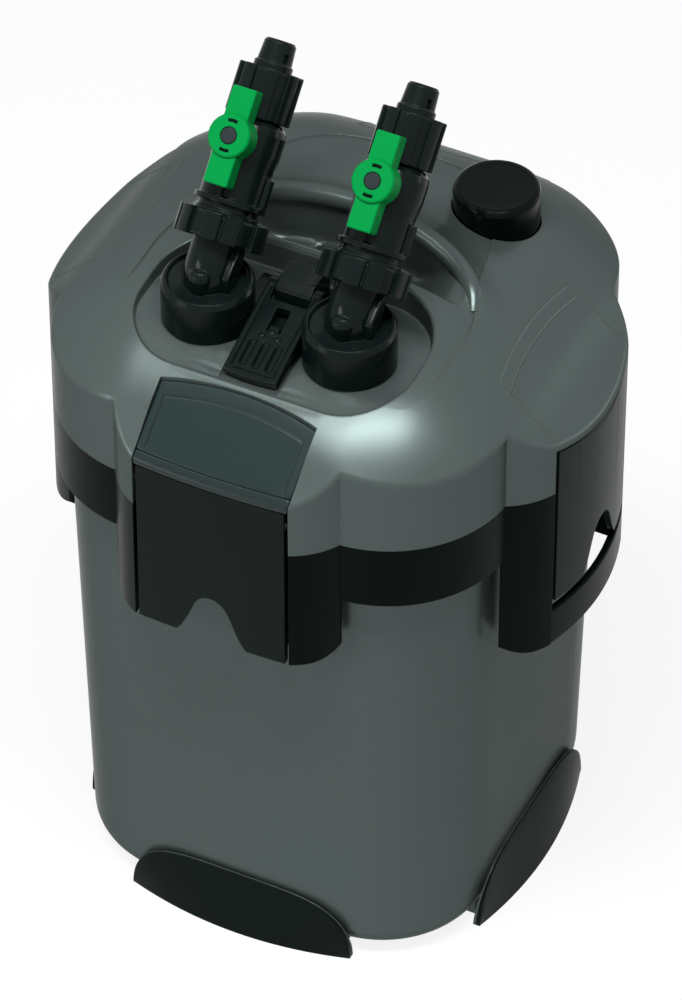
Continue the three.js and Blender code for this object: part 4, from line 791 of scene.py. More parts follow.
def ear_flank():
    """Curved flank of an ear, from its outer corner to the head, as (place along the side, reach)."""
    start, end = np.array([BAY_HALF, BAY_REACH]), np.array([EAR_HALF, HEAD_HALF - 0.22])
    along = end - start
    normal = np.array([-along[1], along[0]]) / np.linalg.norm(along)
    return [start + along * t + normal * EAR_BELLY * 4 * t * (1 - t) for t in np.linspace(0, 1, 9)]


def head_outline():
    """Plan of the head with its four bays, anticlockwise."""
    line = []
    middle = HEAD_HALF - HEAD_CORNER
    lean = math.degrees(math.asin((EAR_HALF - middle) / HEAD_CORNER))
    flank = ear_flank()
    marks = [s * PAD_EDGE + d for s in (-1, 1) for d in (-0.15, 0.15)]
    places = sorted([*np.linspace(-BAY_HALF, BAY_HALF, 25)[1:-1], *marks])
    for side in range(4):
        part = [(-x, -y) for x, y in flank[::-1]]
        part += [(x, -bowed(side, x)) for x in places]
        part += [(x, -y) for x, y in flank]
        part += arc((middle, -middle), HEAD_CORNER, -90 + lean, -lean, 28)[1:-1]
        line.extend(turned(part, side))
    return np.array(line)


def recess_loop():
    """Plan edge of the grip recess: along the lip at the back, straight at the front."""
    back = smooth_path(LIP, 60)
    ahead = np.gradient(back, axis=0)
    ahead /= np.linalg.norm(ahead, axis=1)[:, None]
    back = back + RECESS_INSET * np.stack([-ahead[:, 1], ahead[:, 0]], 1)
    back = back[back[:, 1] > RECESS_FRONT + 1.5]
    front = np.linspace(-back[0][0] + 1, back[0][0] - 1, 24)
    return np.array([*back, *[(x, RECESS_FRONT) for x in front]])


def side_points(line, side):
    """Plan points from (place along the side, reach)."""
    return np.array([[(u, -r), (r, u), (-u, r), (-r, -u)][side] for u, r in line])


def pad_lines(side):
    """The raised lines round a side pad and the groove along its inner strip, in plan."""
    us = np.linspace(PAD_EDGE, -PAD_EDGE, 25)
    outer = BAY_REACH - 1.6
    inner = [(u, pad_inner(u)) for u in us]
    frame_line = [*[(PAD_EDGE, r) for r in np.linspace(outer, inner[0][1], 12)[:-1]], *inner]
    front = [(-PAD_EDGE, r) for r in np.linspace(pad_inner(PAD_EDGE) + PAD_STRIP, outer, 10)]
    groove = [(u, pad_inner(u) + PAD_STRIP) for u in us]
    return [side_points(frame_line, side), side_points(front, side)], side_points(groove, side)


RECESS = recess_loop()
CREASE_LOOP = smooth_path([*CREASE, (-60, -75), (0, -80), (60, -75), CREASE[0]], 150)[:-1]
LIP_LINE = smooth_path(LIP, 40)
PAD_LINES = [pad_lines(side) for side in (1, 2, 3)]


def cover_height(xy):
    """Upper surface of the head cover: the deck with everything that is sunk into it."""
    x, y = xy[:, 0], xy[:, 1]
    top = deck_height(xy)
    crease = loop_depth(xy, CREASE_LOOP)
    shoulder = np.exp(-np.maximum(crease, 0) / CREASE_SPREAD) * np.clip(crease / 0.3, 0, 1)
    top = top - CREASE_DEPTH * smooth_step(*CREASE_FADE, y) * shoulder
    for beads, groove in PAD_LINES:
        for line in beads:
            away = segment_distance(xy, line[:-1], line[1:]) / BEAD_HALF
            top = top + BEAD_RISE * np.sqrt(np.maximum(1 - away ** 2, 0))
        away = segment_distance(xy, groove[:-1], groove[1:]) / GROOVE_HALF
        top = top - GROOVE_DEPTH * np.maximum(1 - away, 0)
    lip = segment_distance(xy, LIP_LINE[:-1], LIP_LINE[1:])
    ends = smooth_step(-13, 2, y)
    top = top + (LIP_RADIUS + LIP_RISE - 0.3) * ends * (1 - smooth_step(0, LIP_SPREAD, lip)) ** 1.5
    floor = top - (top - RECESS_FLOOR) * (1 - smooth_step(*RECESS_FADE, np.abs(x)))
    top = sink(top, floor, loop_depth(xy, RECESS), np.where(y > -4, 2.6, 0.8), 0.6, 4.0)
    scoop = box_depth(xy, *SCOOP, SCOOP_CORNER)
    top = sink(top, np.minimum(top, SCOOP_FLOOR), scoop, 1.5, 0.5, 2.0)
    floor = WELL_FLOOR - (WELL_FLOOR - WELL_LOW) * smooth_step(*WELL_RAMP, y)
    lane = box_depth(xy, -LANE, LANE, -100, 0, 1)
    floor = sink(floor, np.full(len(xy), float(WELL_LOW)), lane, 0.5, 0.4, 0.6)
    return sink(top, floor, box_depth(xy, *WELL, WELL_CORNER), 1.5, 0.35, 1.3)


def cover_lines(rim_loop):
    """Every line that the cover's upper surface breaks along."""
    lines = edge_lines(rim_loop, (0.5,))
    well = rounded_box_line(*WELL, WELL_CORNER, 14)
    lines += edge_lines(well, (-1.5, -1.1, -0.65, -0.25, 0, 0.35, 0.7, 1.65, 5))
    lines += edge_lines(RECESS, (-2.6, -1.6, -0.8, -0.3, 0, 0.6, 1.6, 3, 4.6))
    lines += edge_lines(rounded_box_line(*SCOOP, SCOOP_CORNER, 6), (-1.5, -0.6, 0, 0.5, 2.5))
    lines += edge_lines(CREASE_LOOP, (0, 0.3, 2.5))
    for x in (-LANE, LANE):
        for d in (-0.5, 0, 0.4, 1.0):
            at = x + math.copysign(d, -x)
            lines.append(([(at, y) for y in np.linspace(-84.6, -18, 20)], False))
    for beads, groove in PAD_LINES:
        for line in beads:
            lines += [(beside(line, d * BEAD_HALF), False) for d in (-2, -1, -0.5, 0, 0.5, 1, 2)]
        lines += [(beside(groove, d * GROOVE_HALF), False) for d in (-2, -1, 0, 1, 2)]
    return lines


def slope_tool(name, half, drop, inner):
    """Everything above the slope of a pad, lowered by a drop."""
    outer = BAY_REACH + 20
    slope = [(-outer, pad_height(outer) - drop), (-inner, pad_height(inner) - drop)]
    return prism(name, [*slope, (-inner, ABOVE), (-outer, ABOVE)], -half, half, "X")


def pad_plan():
    """Plan of the front pad's seat, open outwards."""
    outer = BAY_REACH + 20
    inner = [(u, -pad_inner(u)) for u in np.linspace(BAY_HALF, -BAY_HALF, 17)]
    return [(-BAY_HALF, -outer), (BAY_HALF, -outer), *inner]


def make_chamber():
    """Hollow of the head cover, less the walls round what is sunk into it."""
    chamber = loft("chamber", [
        [(x, y, z) for x, y in corner_square(half, max(HEAD_CORNER - (HEAD_HALF - half), half * 0.6))]
        for half, z in CHAMBER])
    keeps = [block("scoop_wall", *SCOOP_WALL, ABOVE),
             upright_rod("button_wall", BUTTON_BOSS, BUTTON_BOSS_LOW, ABOVE, BUTTON)]
    keeps += [upright_rod("socket_wall", SOCKET_WALL, SOCKET_LOW, ABOVE, (x, CUP_Y), 48)
              for x in (-TAP_X, TAP_X)]
    keeps += [to_side(slope_tool("pad_wall", BAY_HALF + 2, PAD_DEPTH + 2.4, PAD_INNER - 5), side)
              for side in range(4)]
    return cut(chamber, *keeps)


def make_bay_tools(side):
    """A latch bay and the bore for its pin."""
    outer, inner, low = BAY_REACH + 20, HEAD_HALF + 0.3, BAND_TOP - 5
    bay = [(-outer, low), (-inner, low), (-inner, pad_height(HEAD_HALF) - PAD_DEPTH),
           (-outer, pad_height(outer) - PAD_DEPTH)]
    bore = cross_rod("pin_bore", PIN_RADIUS + RUNNING_GAP, BAY_HALF + 3.4, -PIVOT_REACH, PIVOT_Z, 24)
    return [to_side(prism("bay", bay, -BAY_HALF, BAY_HALF, "X"), side), to_side(bore, side)]


def gland_rod(name, radius, start, end, segments):
    """Round bar through the rear wall, where the cable gland sits."""
    return rod(name, radius, (GLAND_X, start, GLAND_Z), (GLAND_X, end, GLAND_Z), segments)


def make_head_cover():
    """Domed shell of the head with its chamber, bays, bores, gland boss and raised lip."""
    outline = head_outline()
    lines = cover_lines(offset_loop(outline, COVER_RIM))
    cover = skin_solid("cover", outline, cover_height, BAND_TOP, lines, COVER_RIM, 2.8)
    tools = [make_chamber(), *[tool for side in range(4) for tool in make_bay_tools(side)]]
    tools.append(keep_common(slope_tool("pad_seat", BAY_HALF, PAD_DEPTH + 0.3, 60),
                             prism("pad_plan", pad_plan(), 200, ABOVE - 10)))
    tools.append(upright_rod("button_hole", BUTTON_HOLE, 280, ABOVE, BUTTON, 72))
    tools += [upright_rod("socket", SOCKET_BORE, 270, ABOVE, (x, CUP_Y), 48) for x in (-TAP_X, TAP_X)]
    tools.append(gland_rod("gland_bore", GLAND_NECK + RUNNING_GAP, GLAND_WALL_Y - 16, 120, 48))
    boss = gland_rod("gland_boss", GLAND_RADIUS + 2, GLAND_WALL_Y - 12, GLAND_WALL_Y + 3.4, 64)
    cover = cut(fuse(cover, soften(boss, 1.2, 4)), *tools)
    path = smooth_path(LIP, 72)
    rise = deck_height(path) + LIP_RISE - LIP_ENDS_DROP * (1 - smooth_step(-12, 0, path[:, 1]))
    radii = LIP_RADIUS * (0.62 + 0.38 * smooth_step(-11, 3, path[:, 1]))
    return fuse(cover, tube("lip", np.column_stack([path, rise]), radii, 24))


# ---------------------------------------------------------------- canister and feet

RIM_TOP, BAND_BOTTOM, BAND_WALL = 248, 225.7, 4.2
BODY_TOP_HALF, BODY_LOW_HALF, BODY_CORNER, BODY_EDGE, BODY_BOTTOM = 98.3, 94.4, 50, 12, 3
BODY_WALL, BODY_SWELL = 3, 0.7
HOOK_X, HOOK_HALF, HOOK_TOP, HOOK_DEPTH, HOOK_REACH = 26, 6, 218.2, 4.6, 104.2
KEEPER_REACH, KEEPER_DEPTH = 107.6, 5.8
FOOT_HALF, FOOT_HEIGHT, FOOT_LOW, FOOT_WALL = 54, 28.6, 1.6, 3.2
FOOT_REACH, FOOT_TIP, FOOT_RIDGE, FOOT_BULGE = 105.4, 97.2, 97.6, 0.35


def body_half(z):
    """Half width of the tapered canister at a height."""
    low = BODY_BOTTOM + BODY_EDGE
    return BODY_LOW_HALF + (BODY_TOP_HALF - BODY_LOW_HALF) * (z - low) / (RIM_TOP - low)


def body_ring(half, corner, z):
    """Round-cornered square whose sides swell a little in their middle."""
    ring = []
    for x, y in corner_square(half, corner, 20, 14):
        reach, along = max(abs(x), abs(y)), min(abs(x), abs(y))
        swell = BODY_SWELL * max(1 - (along / (half * 0.75)) ** 2, 0) * (reach > half - 0.01)
        wider = 1 + swell / half
        ring.append((x * wider if abs(x) > abs(y) else x, y * wider if abs(y) >= abs(x) else y, z))
    return ring


def make_canister():
    """Open bucket with its latch keepers and foot stands."""
    low = BODY_BOTTOM + BODY_EDGE
    rings = []
    for a in np.linspace(0, math.pi / 2, 10):
        inset = BODY_EDGE * (1 - math.sin(a))
        rings.append(body_ring(BODY_LOW_HALF - inset, BODY_CORNER - inset, low - BODY_EDGE * math.cos(a)))
    rings += [body_ring(body_half(z), BODY_CORNER, z) for z in np.linspace(low, RIM_TOP, 12)[1:]]
    for z, inset, height in ((RIM_TOP, 0, RIM_TOP), (low, 0, low), (low, 6, BODY_BOTTOM + BODY_WALL)):
        rings.append(body_ring(body_half(z) - BODY_WALL - inset, BODY_CORNER - BODY_WALL - inset, height))
    canister = loft("canister", rings)
    extras = []
    for side in range(4):
        for x in (-HOOK_X, HOOK_X):
            seat, inner = HOOK_TOP + RUNNING_GAP, body_half(HOOK_TOP) - 1.5
            keeper = block("keeper", x - HOOK_HALF - 1, x + HOOK_HALF + 1, -KEEPER_REACH, -inner,
                           seat, seat + KEEPER_DEPTH)
            extras.append(to_side(soften(keeper, 0.7), side))
        stand = block("stand", -FOOT_HALF + 5, FOOT_HALF - 5, -FOOT_TIP + FOOT_WALL + 1, -70, 1, 9)
        extras.append(to_side(soften(stand, 0.6), side))
    return fuse(canister, *extras)


def foot_section(u, outer_skin):
    """Section through a foot at a place along it, from -1 to 1: its cover, or the lining behind the cover."""
    spread = math.sin(u * math.pi / 2)
    top = FOOT_LOW + (FOOT_HEIGHT - FOOT_LOW) * math.sqrt(max(1 - abs(spread) ** 5, 0))
    share = top / FOOT_HEIGHT
    tip = FOOT_TIP + (FOOT_REACH - FOOT_TIP) * (1 - spread ** 2)
    ridge = tip + (FOOT_RIDGE - tip) * share
    back, wall = BODY_LOW_HALF + 1.9, tip - FOOT_WALL
    inner = min(ridge - 1.3, wall + (back - tip + FOOT_WALL) * share)
    outside = [(tip - (tip - ridge) * t + FOOT_BULGE * math.sin(math.pi * t), top * t)
               for t in np.linspace(0, 1, 8)]
    inside_line = [(wall - (wall - inner) * t, top * t) for t in np.linspace(1, 0, 8)]
    middle = [((a + 1.5 * b) / 2.5, z) for (a, z), (b, _) in zip(outside, inside_line[::-1])]
    if outer_skin:
        line = [*outside[:-1], (ridge, top - 0.5), (ridge - 0.4, top - 0.1), (middle[-1][0] + 0.1, top - 0.1)]
        line += [(r, min(z, top - 0.1)) for r, z in middle[::-1]]
    else:
        line = [(r - 0.05, min(z, top)) for r, z in middle] + [(inner, top)] + inside_line[1:]
    return [(FOOT_HALF * spread, -r, z) for r, z in line]


def make_foot(side, outer_skin):
    """Cover of a foot, or the lining behind it."""
    sections = [foot_section(u, outer_skin) for u in np.linspace(-1, 1, 57)]
    return to_side(loft("foot", sections), side)


# ---------------------------------------------------------------- black band with guards and grips

SHORT_GUARD, DEEP_GUARD, GUARD_ROUND, GUARD_WALL = 194.2, 169.5, 12, 3
GRIP_TOP, GRIP_WALL = 189.5, 3.4


def bow(side, start, end, inset=0.0):
    """Bowed latch face in plan, drawn on the front."""
    return [(u, -bowed(side, u, inset)) for u in np.linspace(start, end, 25)]


def flank_line(sign, inset=0.0):
    """Flank of an ear or guard in plan, moved inwards by an inset."""
    flank = np.array(ear_flank())
    along = np.gradient(flank, axis=0)
    along /= np.linalg.norm(along, axis=1)[:, None]
    flank = flank - inset * np.stack([-along[:, 1], along[:, 0]], 1)
    return [(sign * u, -r) for u, r in flank]


def band_line(inset, z):
    """Ring of points round the band."""
    return [(x, y, z) for x, y in corner_square(HEAD_HALF - inset, HEAD_CORNER - inset, 24, 14)]


def make_guard(side, sign):
    """Curved guard beside a latch, hollow from below."""
    low, back = DEEP_GUARD if side % 2 else SHORT_GUARD, HEAD_HALF - BAND_WALL / 2
    outline = [(sign * BAY_HALF, -back), *flank_line(sign), (sign * EAR_HALF, -back)]
    front = rounded_box_line(-EAR_HALF - 2, EAR_HALF + 2, low, BAND_TOP + 40, GUARD_ROUND, 10)
    guard = keep_common(prism("guard", outline, low, BAND_TOP - 0.02),
                        prism("guard_face", front, -200, -back + 1, "Y"))
    inner = BAY_HALF + GUARD_WALL
    flank = [p for p in flank_line(sign, GUARD_WALL) if abs(p[0]) > inner]
    pocket = [(sign * inner, -back + 4), (sign * inner, flank[0][1]), *flank,
              (sign * (EAR_HALF - GUARD_WALL), -back + 4)]
    guard = cut(guard, prism("guard_pocket", pocket, low - 1, BAND_BOTTOM - GUARD_WALL))
    return to_side(soften(guard, 0.7), side)


def make_grip(side):
    """Curved carrying grip between two guards."""
    half = BAY_HALF + 1.4
    line = [*bow(side, -half, half), *bow(side, half, -half, GRIP_WALL)]
    return to_side(soften(prism("grip", line, DEEP_GUARD, GRIP_TOP), 1.1, 4), side)


def make_head_ring():
    """Black band with eight guards and two carrying grips."""
    band = loft("band", [band_line(inset, z) for inset, z in (
        (0.5, BAND_BOTTOM), (0.1, BAND_BOTTOM + 0.15), (0, BAND_BOTTOM + 0.6), (0, BAND_TOP - 0.3),
        (0.3, BAND_TOP - 0.02), (BAND_WALL, BAND_TOP - 0.02), (BAND_WALL, BAND_BOTTOM))], closed=True)
    extras = []
    for side in range(4):
        extras += [make_guard(side, sign) for sign in (-1, 1)]
        if side % 2:
            extras.append(make_grip(side))
    return fuse(band, *extras)


# ---------------------------------------------------------------- front pad and latches

PAD_LIP, PAD_HALF, PANEL_HALF, PANEL_END = 3.7, BAY_HALF - 0.3, 32.6, 115
PANEL_GROOVE, PANEL_DEPTH, PAD_STRIP_DROP, PAD_LIP_DROP = 0.5, 0.3, 0.25, 0.25
LATCH_HALF, LATCH_WALL, LATCH_BOTTOM, LATCH_GAP = 34.5, 3, 194.4, 1.1
LATCH_SWING, BARREL_RADIUS, CHEEK_INSET, CHEEK_HALF = 10.95, 4.2, 1.3, 0.9
NOTCH_HALF, NOTCH_HEIGHT = 16.5, 24


def pad_surface(xy):
    """Top of the front pad: a frame with a lighter strip, a fine groove and a shallow bare panel."""
    u, reach = xy[:, 0], -xy[:, 1]
    inward = reach - pad_inner(u)
    depth = np.minimum(PANEL_HALF - np.abs(u), inward - PAD_STRIP)
    groove = np.clip(1 - np.abs(depth - 0.3) / 0.3, 0, 1) * PANEL_GROOVE
    panel = PANEL_DEPTH * np.clip((depth - 0.3) / 0.3, 0, 1)
    strip = np.clip(1 - inward / PAD_STRIP, 0, 1)
    return pad_height(reach) - groove - panel - PAD_STRIP_DROP * strip ** 2


def pad_underside(xy):
    return pad_height(-xy[:, 1]) - PAD_DEPTH


def lip_surface(xy):
    return pad_height(-xy[:, 1]) - PAD_LIP_DROP


def make_front_pad():
    """Dark plate above the front latch."""
    inner = [(u, -(pad_inner(u) + 0.3)) for u in np.linspace(PAD_HALF, -PAD_HALF, 25)]
    outline = rounded_corners([*bow(0, -PAD_HALF, PAD_HALF, PAD_LIP), *inner], 1.2, 3)
    lines = []
    for d in (-0.3, 0, 0.3, 0.6, 1.0):
        half = PANEL_HALF - d
        across = [(u * half / PANEL_HALF, -(pad_inner(u) + PAD_STRIP + d))
                  for u in np.linspace(-PANEL_HALF, PANEL_HALF, 25)]
        lines.append((across, False))
        for u in (-half, half):
            lines.append(([(u, -r) for r in np.linspace(pad_inner(u) + PAD_STRIP + d, PANEL_END, 12)], False))
    return skin_solid("front_pad", outline, pad_surface, pad_underside, lines, 0.7, 2.4)


def make_pad_lip():
    """Black lip along the front pad's outer edge, a little lower than the pad."""
    line = [*bow(0, -PAD_HALF, PAD_HALF, 0.05), *bow(0, PAD_HALF, -PAD_HALF, PAD_LIP - 0.1)]
    outline = rounded_corners(line, 1.2, 3)
    return skin_solid("pad_lip", outline, lip_surface, pad_underside, (), 0.8, 1.8)


def arch_line():
    """Outline of the finger arch in a latch's lower edge, in X and Z."""
    left = [(-NOTCH_HALF, LATCH_BOTTOM), (-NOTCH_HALF * 0.55, LATCH_BOTTOM + NOTCH_HEIGHT * 0.35),
            (-NOTCH_HALF * 0.6, LATCH_BOTTOM + NOTCH_HEIGHT), (0, LATCH_BOTTOM + NOTCH_HEIGHT)]
    curve = []
    for t in np.linspace(0, 1, 17):
        weights = ((1 - t) ** 3, 3 * t * (1 - t) ** 2, 3 * t * t * (1 - t), t ** 3)
        curve.append(tuple(sum(w * p[k] for w, p in zip(weights, left)) for k in (0, 1)))
    half = [(-NOTCH_HALF, LATCH_BOTTOM - 5), *curve]
    return [(-x, z) for x, z in half[:-1]] + half[::-1]


def make_latch_shell(side):
    """Bowed face of a latch, cut to the circle that it swings in, with its finger arch."""
    face = [*bow(side, -LATCH_HALF, LATCH_HALF), *bow(side, LATCH_HALF, -LATCH_HALF, LATCH_WALL)]
    half = LATCH_HALF + 1
    swing = fuse(prism("swing", circle_line(LATCH_SWING, (-PIVOT_REACH, PIVOT_Z), 72), -half, half, "X"),
                 block("below", -half, half, -140, 0, 150, PIVOT_Z))
    shell = keep_common(prism("latch", face, LATCH_BOTTOM, PAD_OUTER_Z), swing)
    shell = cut(shell, prism("arch", arch_line(), -140, -100, "Y"),
                slope_tool("top_slope", half, PAD_DEPTH + LATCH_GAP, 60))
    return soften(shell, 0.8, 4, 40)


def make_latch(side):
    """Latch face with its web, hooks, cheeks and bored barrel."""
    pivot = (-PIVOT_REACH, PIVOT_Z)
    inner, half = 1 - HOOK_REACH, LATCH_HALF - 0.3
    behind = [(-half, inner), *bow(side, -half, half, 1.2), (half, inner)]
    outer = -BAY_REACH + 1.5 - BULGES[side]
    low, high, web_half = PIVOT_Z - BARREL_RADIUS, PIVOT_Z + BARREL_RADIUS, LATCH_HALF - 0.2
    parts = [prism("web", [(outer, low), (-PIVOT_REACH, low), (-PIVOT_REACH, high), (outer, high)],
                   -web_half, web_half, "X")]
    outer = outer - 0.5
    arm = [(outer, HOOK_TOP - HOOK_DEPTH - 7), (-HOOK_REACH - 3, HOOK_TOP - HOOK_DEPTH),
           (-HOOK_REACH, HOOK_TOP - 2), (-HOOK_REACH, HOOK_TOP), (outer, HOOK_TOP)]
    cheek = [(outer, LATCH_BOTTOM + 4), (-BAY_REACH + 7, LATCH_BOTTOM + 10), pivot, (outer, PIVOT_Z)]
    plates = (("hook", arm, HOOK_X, HOOK_HALF), ("cheek", cheek, LATCH_HALF - CHEEK_INSET, CHEEK_HALF))
    for sign in (-1, 1):
        for name, line, x, plate_half in plates:
            parts.append(prism(name, line, sign * x - plate_half, sign * x + plate_half, "X"))
    parts = [keep_common(part, prism("backing", behind, LATCH_BOTTOM - 20, 275)) for part in parts]
    parts.append(cross_rod("barrel", BARREL_RADIUS, LATCH_HALF, *pivot))
    bore = cross_rod("pin_bore", PIN_RADIUS + RUNNING_GAP, LATCH_HALF + 2, *pivot, 24)
    return to_side(cut(fuse(make_latch_shell(side), *parts), bore), side)


def make_latch_pin(side):
    """Steel pin through a latch and its two ears."""
    reach = BAY_HALF + 3
    profile = [(0, -reach), (PIN_RADIUS, -reach), (PIN_RADIUS, reach), (0, reach)]
    place = Matrix.Translation((0, -PIVOT_REACH, PIVOT_Z)) @ Matrix.Rotation(math.pi / 2, 4, "Y")
    return to_side(move(revolve("latch_pin", profile, 24, 0.4, 3), place), side)


# ---------------------------------------------------------------- hose adapter and its lock lever

CUP_RADIUS, CUP_TOP, SPIGOT_RADIUS, SPIGOT_BOTTOM = 20, 334, 14, 286
ELBOW_RADIUS, ELBOW_BEND, WATER_BORE, UNION_COLLAR = 10.4, 12, 6.6, 13.5
TAP_LEAN, NUT_Z = math.radians(43.8), 350.2
ELBOW_MEET = CUP_TOP + 2.4
NUT_Y = CUP_Y + (NUT_Z - ELBOW_MEET) * math.tan(TAP_LEAN)
SWIVEL_HALF = 5.9
YOKE_HALF, YOKE_TOP, YOKE_BACK = 8.2, 330.5, -23
BRIDGE_TOP, BRIDGE_FRONT, TONGUE_FRONT, SADDLE_RADIUS, SADDLE_RISE = 316, -58, -74, 26, 25.2
LOCK_HALF, LOCK_LENGTH, LOCK_THICK, LOCK_PITCH = 12.4, 46.5, 4, math.radians(19)
LOCK_Y, LOCK_Z, KNUCKLE, LOCK_PIN = -38.5, 325, 3.8, 1.6
LOCK_FIELD = (-10.1, 10.1, -LOCK_LENGTH + 3.2, 5, 1.2)
LOCK_GROOVES = [(x - 1.6, x + 1.6, -LOCK_LENGTH + 5.6, -27.5, 1.5) for x in (-6, 0, 6)]
LOCK_STUDS = [(-3.6, -25.3), (3.6, -25.3), (0, -22.6)]


def tap_place(sign):
    """Where a tap stands and how it leans."""
    return Matrix.Translation((sign * TAP_X, NUT_Y, NUT_Z)) @ Matrix.Rotation(-TAP_LEAN, 4, "X")


def elbow_path(sign, low, end):
    """Middle line of an elbow, from a height in its cup up to a place along its tap."""
    meet = np.array([sign * TAP_X, CUP_Y, ELBOW_MEET])
    along = np.array([0, math.sin(TAP_LEAN), math.cos(TAP_LEAN)])
    reach = ELBOW_BEND * math.tan(TAP_LEAN / 2)
    start, finish = meet - (0, 0, reach), meet + along * reach
    bend = [(1 - t) ** 2 * start + 2 * t * (1 - t) * meet + t * t * finish for t in np.linspace(0, 1, 13)]
    return [(sign * TAP_X, CUP_Y, low), *bend, np.array([sign * TAP_X, NUT_Y, NUT_Z]) + along * end]


def make_cup(x):
    """Cup on its spigot, with the groove for the spigot's seal."""
    foot = WELL_FLOOR + RUNNING_GAP
    groove = (SPIGOT_BOTTOM + foot) / 2
    low, high, r, s = groove - 1.4, groove + 1.4, CUP_RADIUS, SPIGOT_RADIUS
    profile = [
        (0, SPIGOT_BOTTOM), (s - 0.8, SPIGOT_BOTTOM), (s, SPIGOT_BOTTOM + 2), (s, low), (s - 1.9, low),
        (s - 1.9, high), (s, high), (s, foot), (r, foot), (r, CUP_TOP - 2.2), (r - 0.9, CUP_TOP - 0.7),
        (r - 1.6, CUP_TOP), (r - 2.6, CUP_TOP), (r - 3.4, CUP_TOP - 1.3), (0, CUP_TOP - 1.3)]
    return shift(revolve("cup", profile, 96, 0.35, 3), x, CUP_Y)


def make_elbow(sign):
    """Cup, elbow, knee, rib and collar that carry one tap."""
    x = sign * TAP_X
    elbow = tube("elbow", elbow_path(sign, CUP_TOP - 8, -0.3), ELBOW_RADIUS, 64)
    knee = revolve("knee", [(0, 0), (5.4, 0), (5.4, 7.5), (4.9, 9.2), (3.4, 10.8), (0, 11.6)], 40, 1.6)
    rib = [(-5.5, CUP_TOP - 2), (2.6, CUP_TOP - 2), (12.0, 345.5), (8.6, 349.5), (-1.5, 343.5), (-5.5, 340.5)]
    rib = prism("rib", [(CUP_Y + y, z) for y, z in rib], x + 9.2, x + 12.4, "X")
    collar = upright_rod("collar", UNION_COLLAR, 3.2 - SWIVEL_HALF, -0.3, (0, 0))
    return [make_cup(x), elbow, shift(knee, x, CUP_Y - 6.2, CUP_TOP - 2), soften(rib, 0.7),
            move(collar, tap_place(sign))]


def make_tongue():
    """Bridge end that carries the lock lever, with a hollow for it across the top."""
    low = WELL_LOW + RUNNING_GAP
    outline = [
        (TONGUE_FRONT, low), (YOKE_BACK, low), (YOKE_BACK, YOKE_TOP - 3), (YOKE_BACK - 3, YOKE_TOP),
        (LOCK_Y + 1.5, YOKE_TOP), (LOCK_Y - 3.5, LOCK_Z + 2), (LOCK_Y - 3.9, LOCK_Z - 4),
        (LOCK_Y - 5.5, BRIDGE_TOP + 1), (BRIDGE_FRONT, BRIDGE_TOP), (TONGUE_FRONT, low + 1.6)]
    tongue = prism("tongue", rounded_corners(outline, 2.4, 6), -YOKE_HALF, YOKE_HALF, "X")
    height = YOKE_TOP + SADDLE_RISE
    saddle = rod("saddle", SADDLE_RADIUS, (0, LOCK_Y - 9, height), (0, YOKE_BACK + 6, height), 160)
    return soften(cut(tongue, saddle), 0.6)


def make_adapter():
    """Both cups and elbows with the bridge between them, bored for water."""
    parts = [part for sign in (-1, 1) for part in make_elbow(sign)]
    half, foot = TAP_X - CUP_RADIUS / 2, WELL_FLOOR + RUNNING_GAP
    parts.append(make_tongue())
    parts.append(soften(block("bridge", -half, half, BRIDGE_FRONT, YOKE_BACK, foot, BRIDGE_TOP), 0.8))
    bores = [tube("bore", elbow_path(sign, SPIGOT_BOTTOM - 2, 2), WATER_BORE, 40) for sign in (-1, 1)]
    gates = [rod("gate", KNUCKLE + 0.5, (sign * YOKE_HALF, LOCK_Y, LOCK_Z),
                 (sign * (LOCK_HALF + 1), LOCK_Y, LOCK_Z), 48) for sign in (-1, 1)]
    pin_bore = cross_rod("pin_bore", LOCK_PIN + RUNNING_GAP, LOCK_HALF, LOCK_Y, LOCK_Z, 24)
    return cut(fuse(parts[0], *parts[1:]), *bores, *gates, pin_bore)


def lock_surface(xy):
    """Top of the lock lever, drawn along its own -Y: side rails, three grooves and a shallow field."""
    top = KNUCKLE - 0.25 * smooth_step(-LOCK_LENGTH + 6, -LOCK_LENGTH, xy[:, 1])
    top = sink(top, top - 1.1, box_depth(xy, *LOCK_FIELD), 0.25, 0.35, 0.4)
    for groove in LOCK_GROOVES:
        top = sink(top, top - 1.3, box_depth(xy, *groove), 0.3, 0.3, 0.5)
    return top


def lock_lines():
    """Every line that the lock lever's top breaks along."""
    steps = (-0.25, 0, 0.35, 0.75)
    front = edge_lines(rounded_box_line(*LOCK_FIELD, 3)[:8], steps)
    lines = [([p for p in line if p[1] < -1.5], False) for line, _ in front]
    for x in LOCK_FIELD[:2]:
        for d in steps:
            at = x - math.copysign(d, x)
            lines.append(([(at, y) for y in np.linspace(-LOCK_LENGTH + 5.6, -1.4, 16)], False))
    for groove in LOCK_GROOVES:
        lines += edge_lines(rounded_box_line(*groove, 4), (-0.3, 0, 0.3, 0.8))
    return [(line, closed) for line, closed in lines if len(line) > 1]


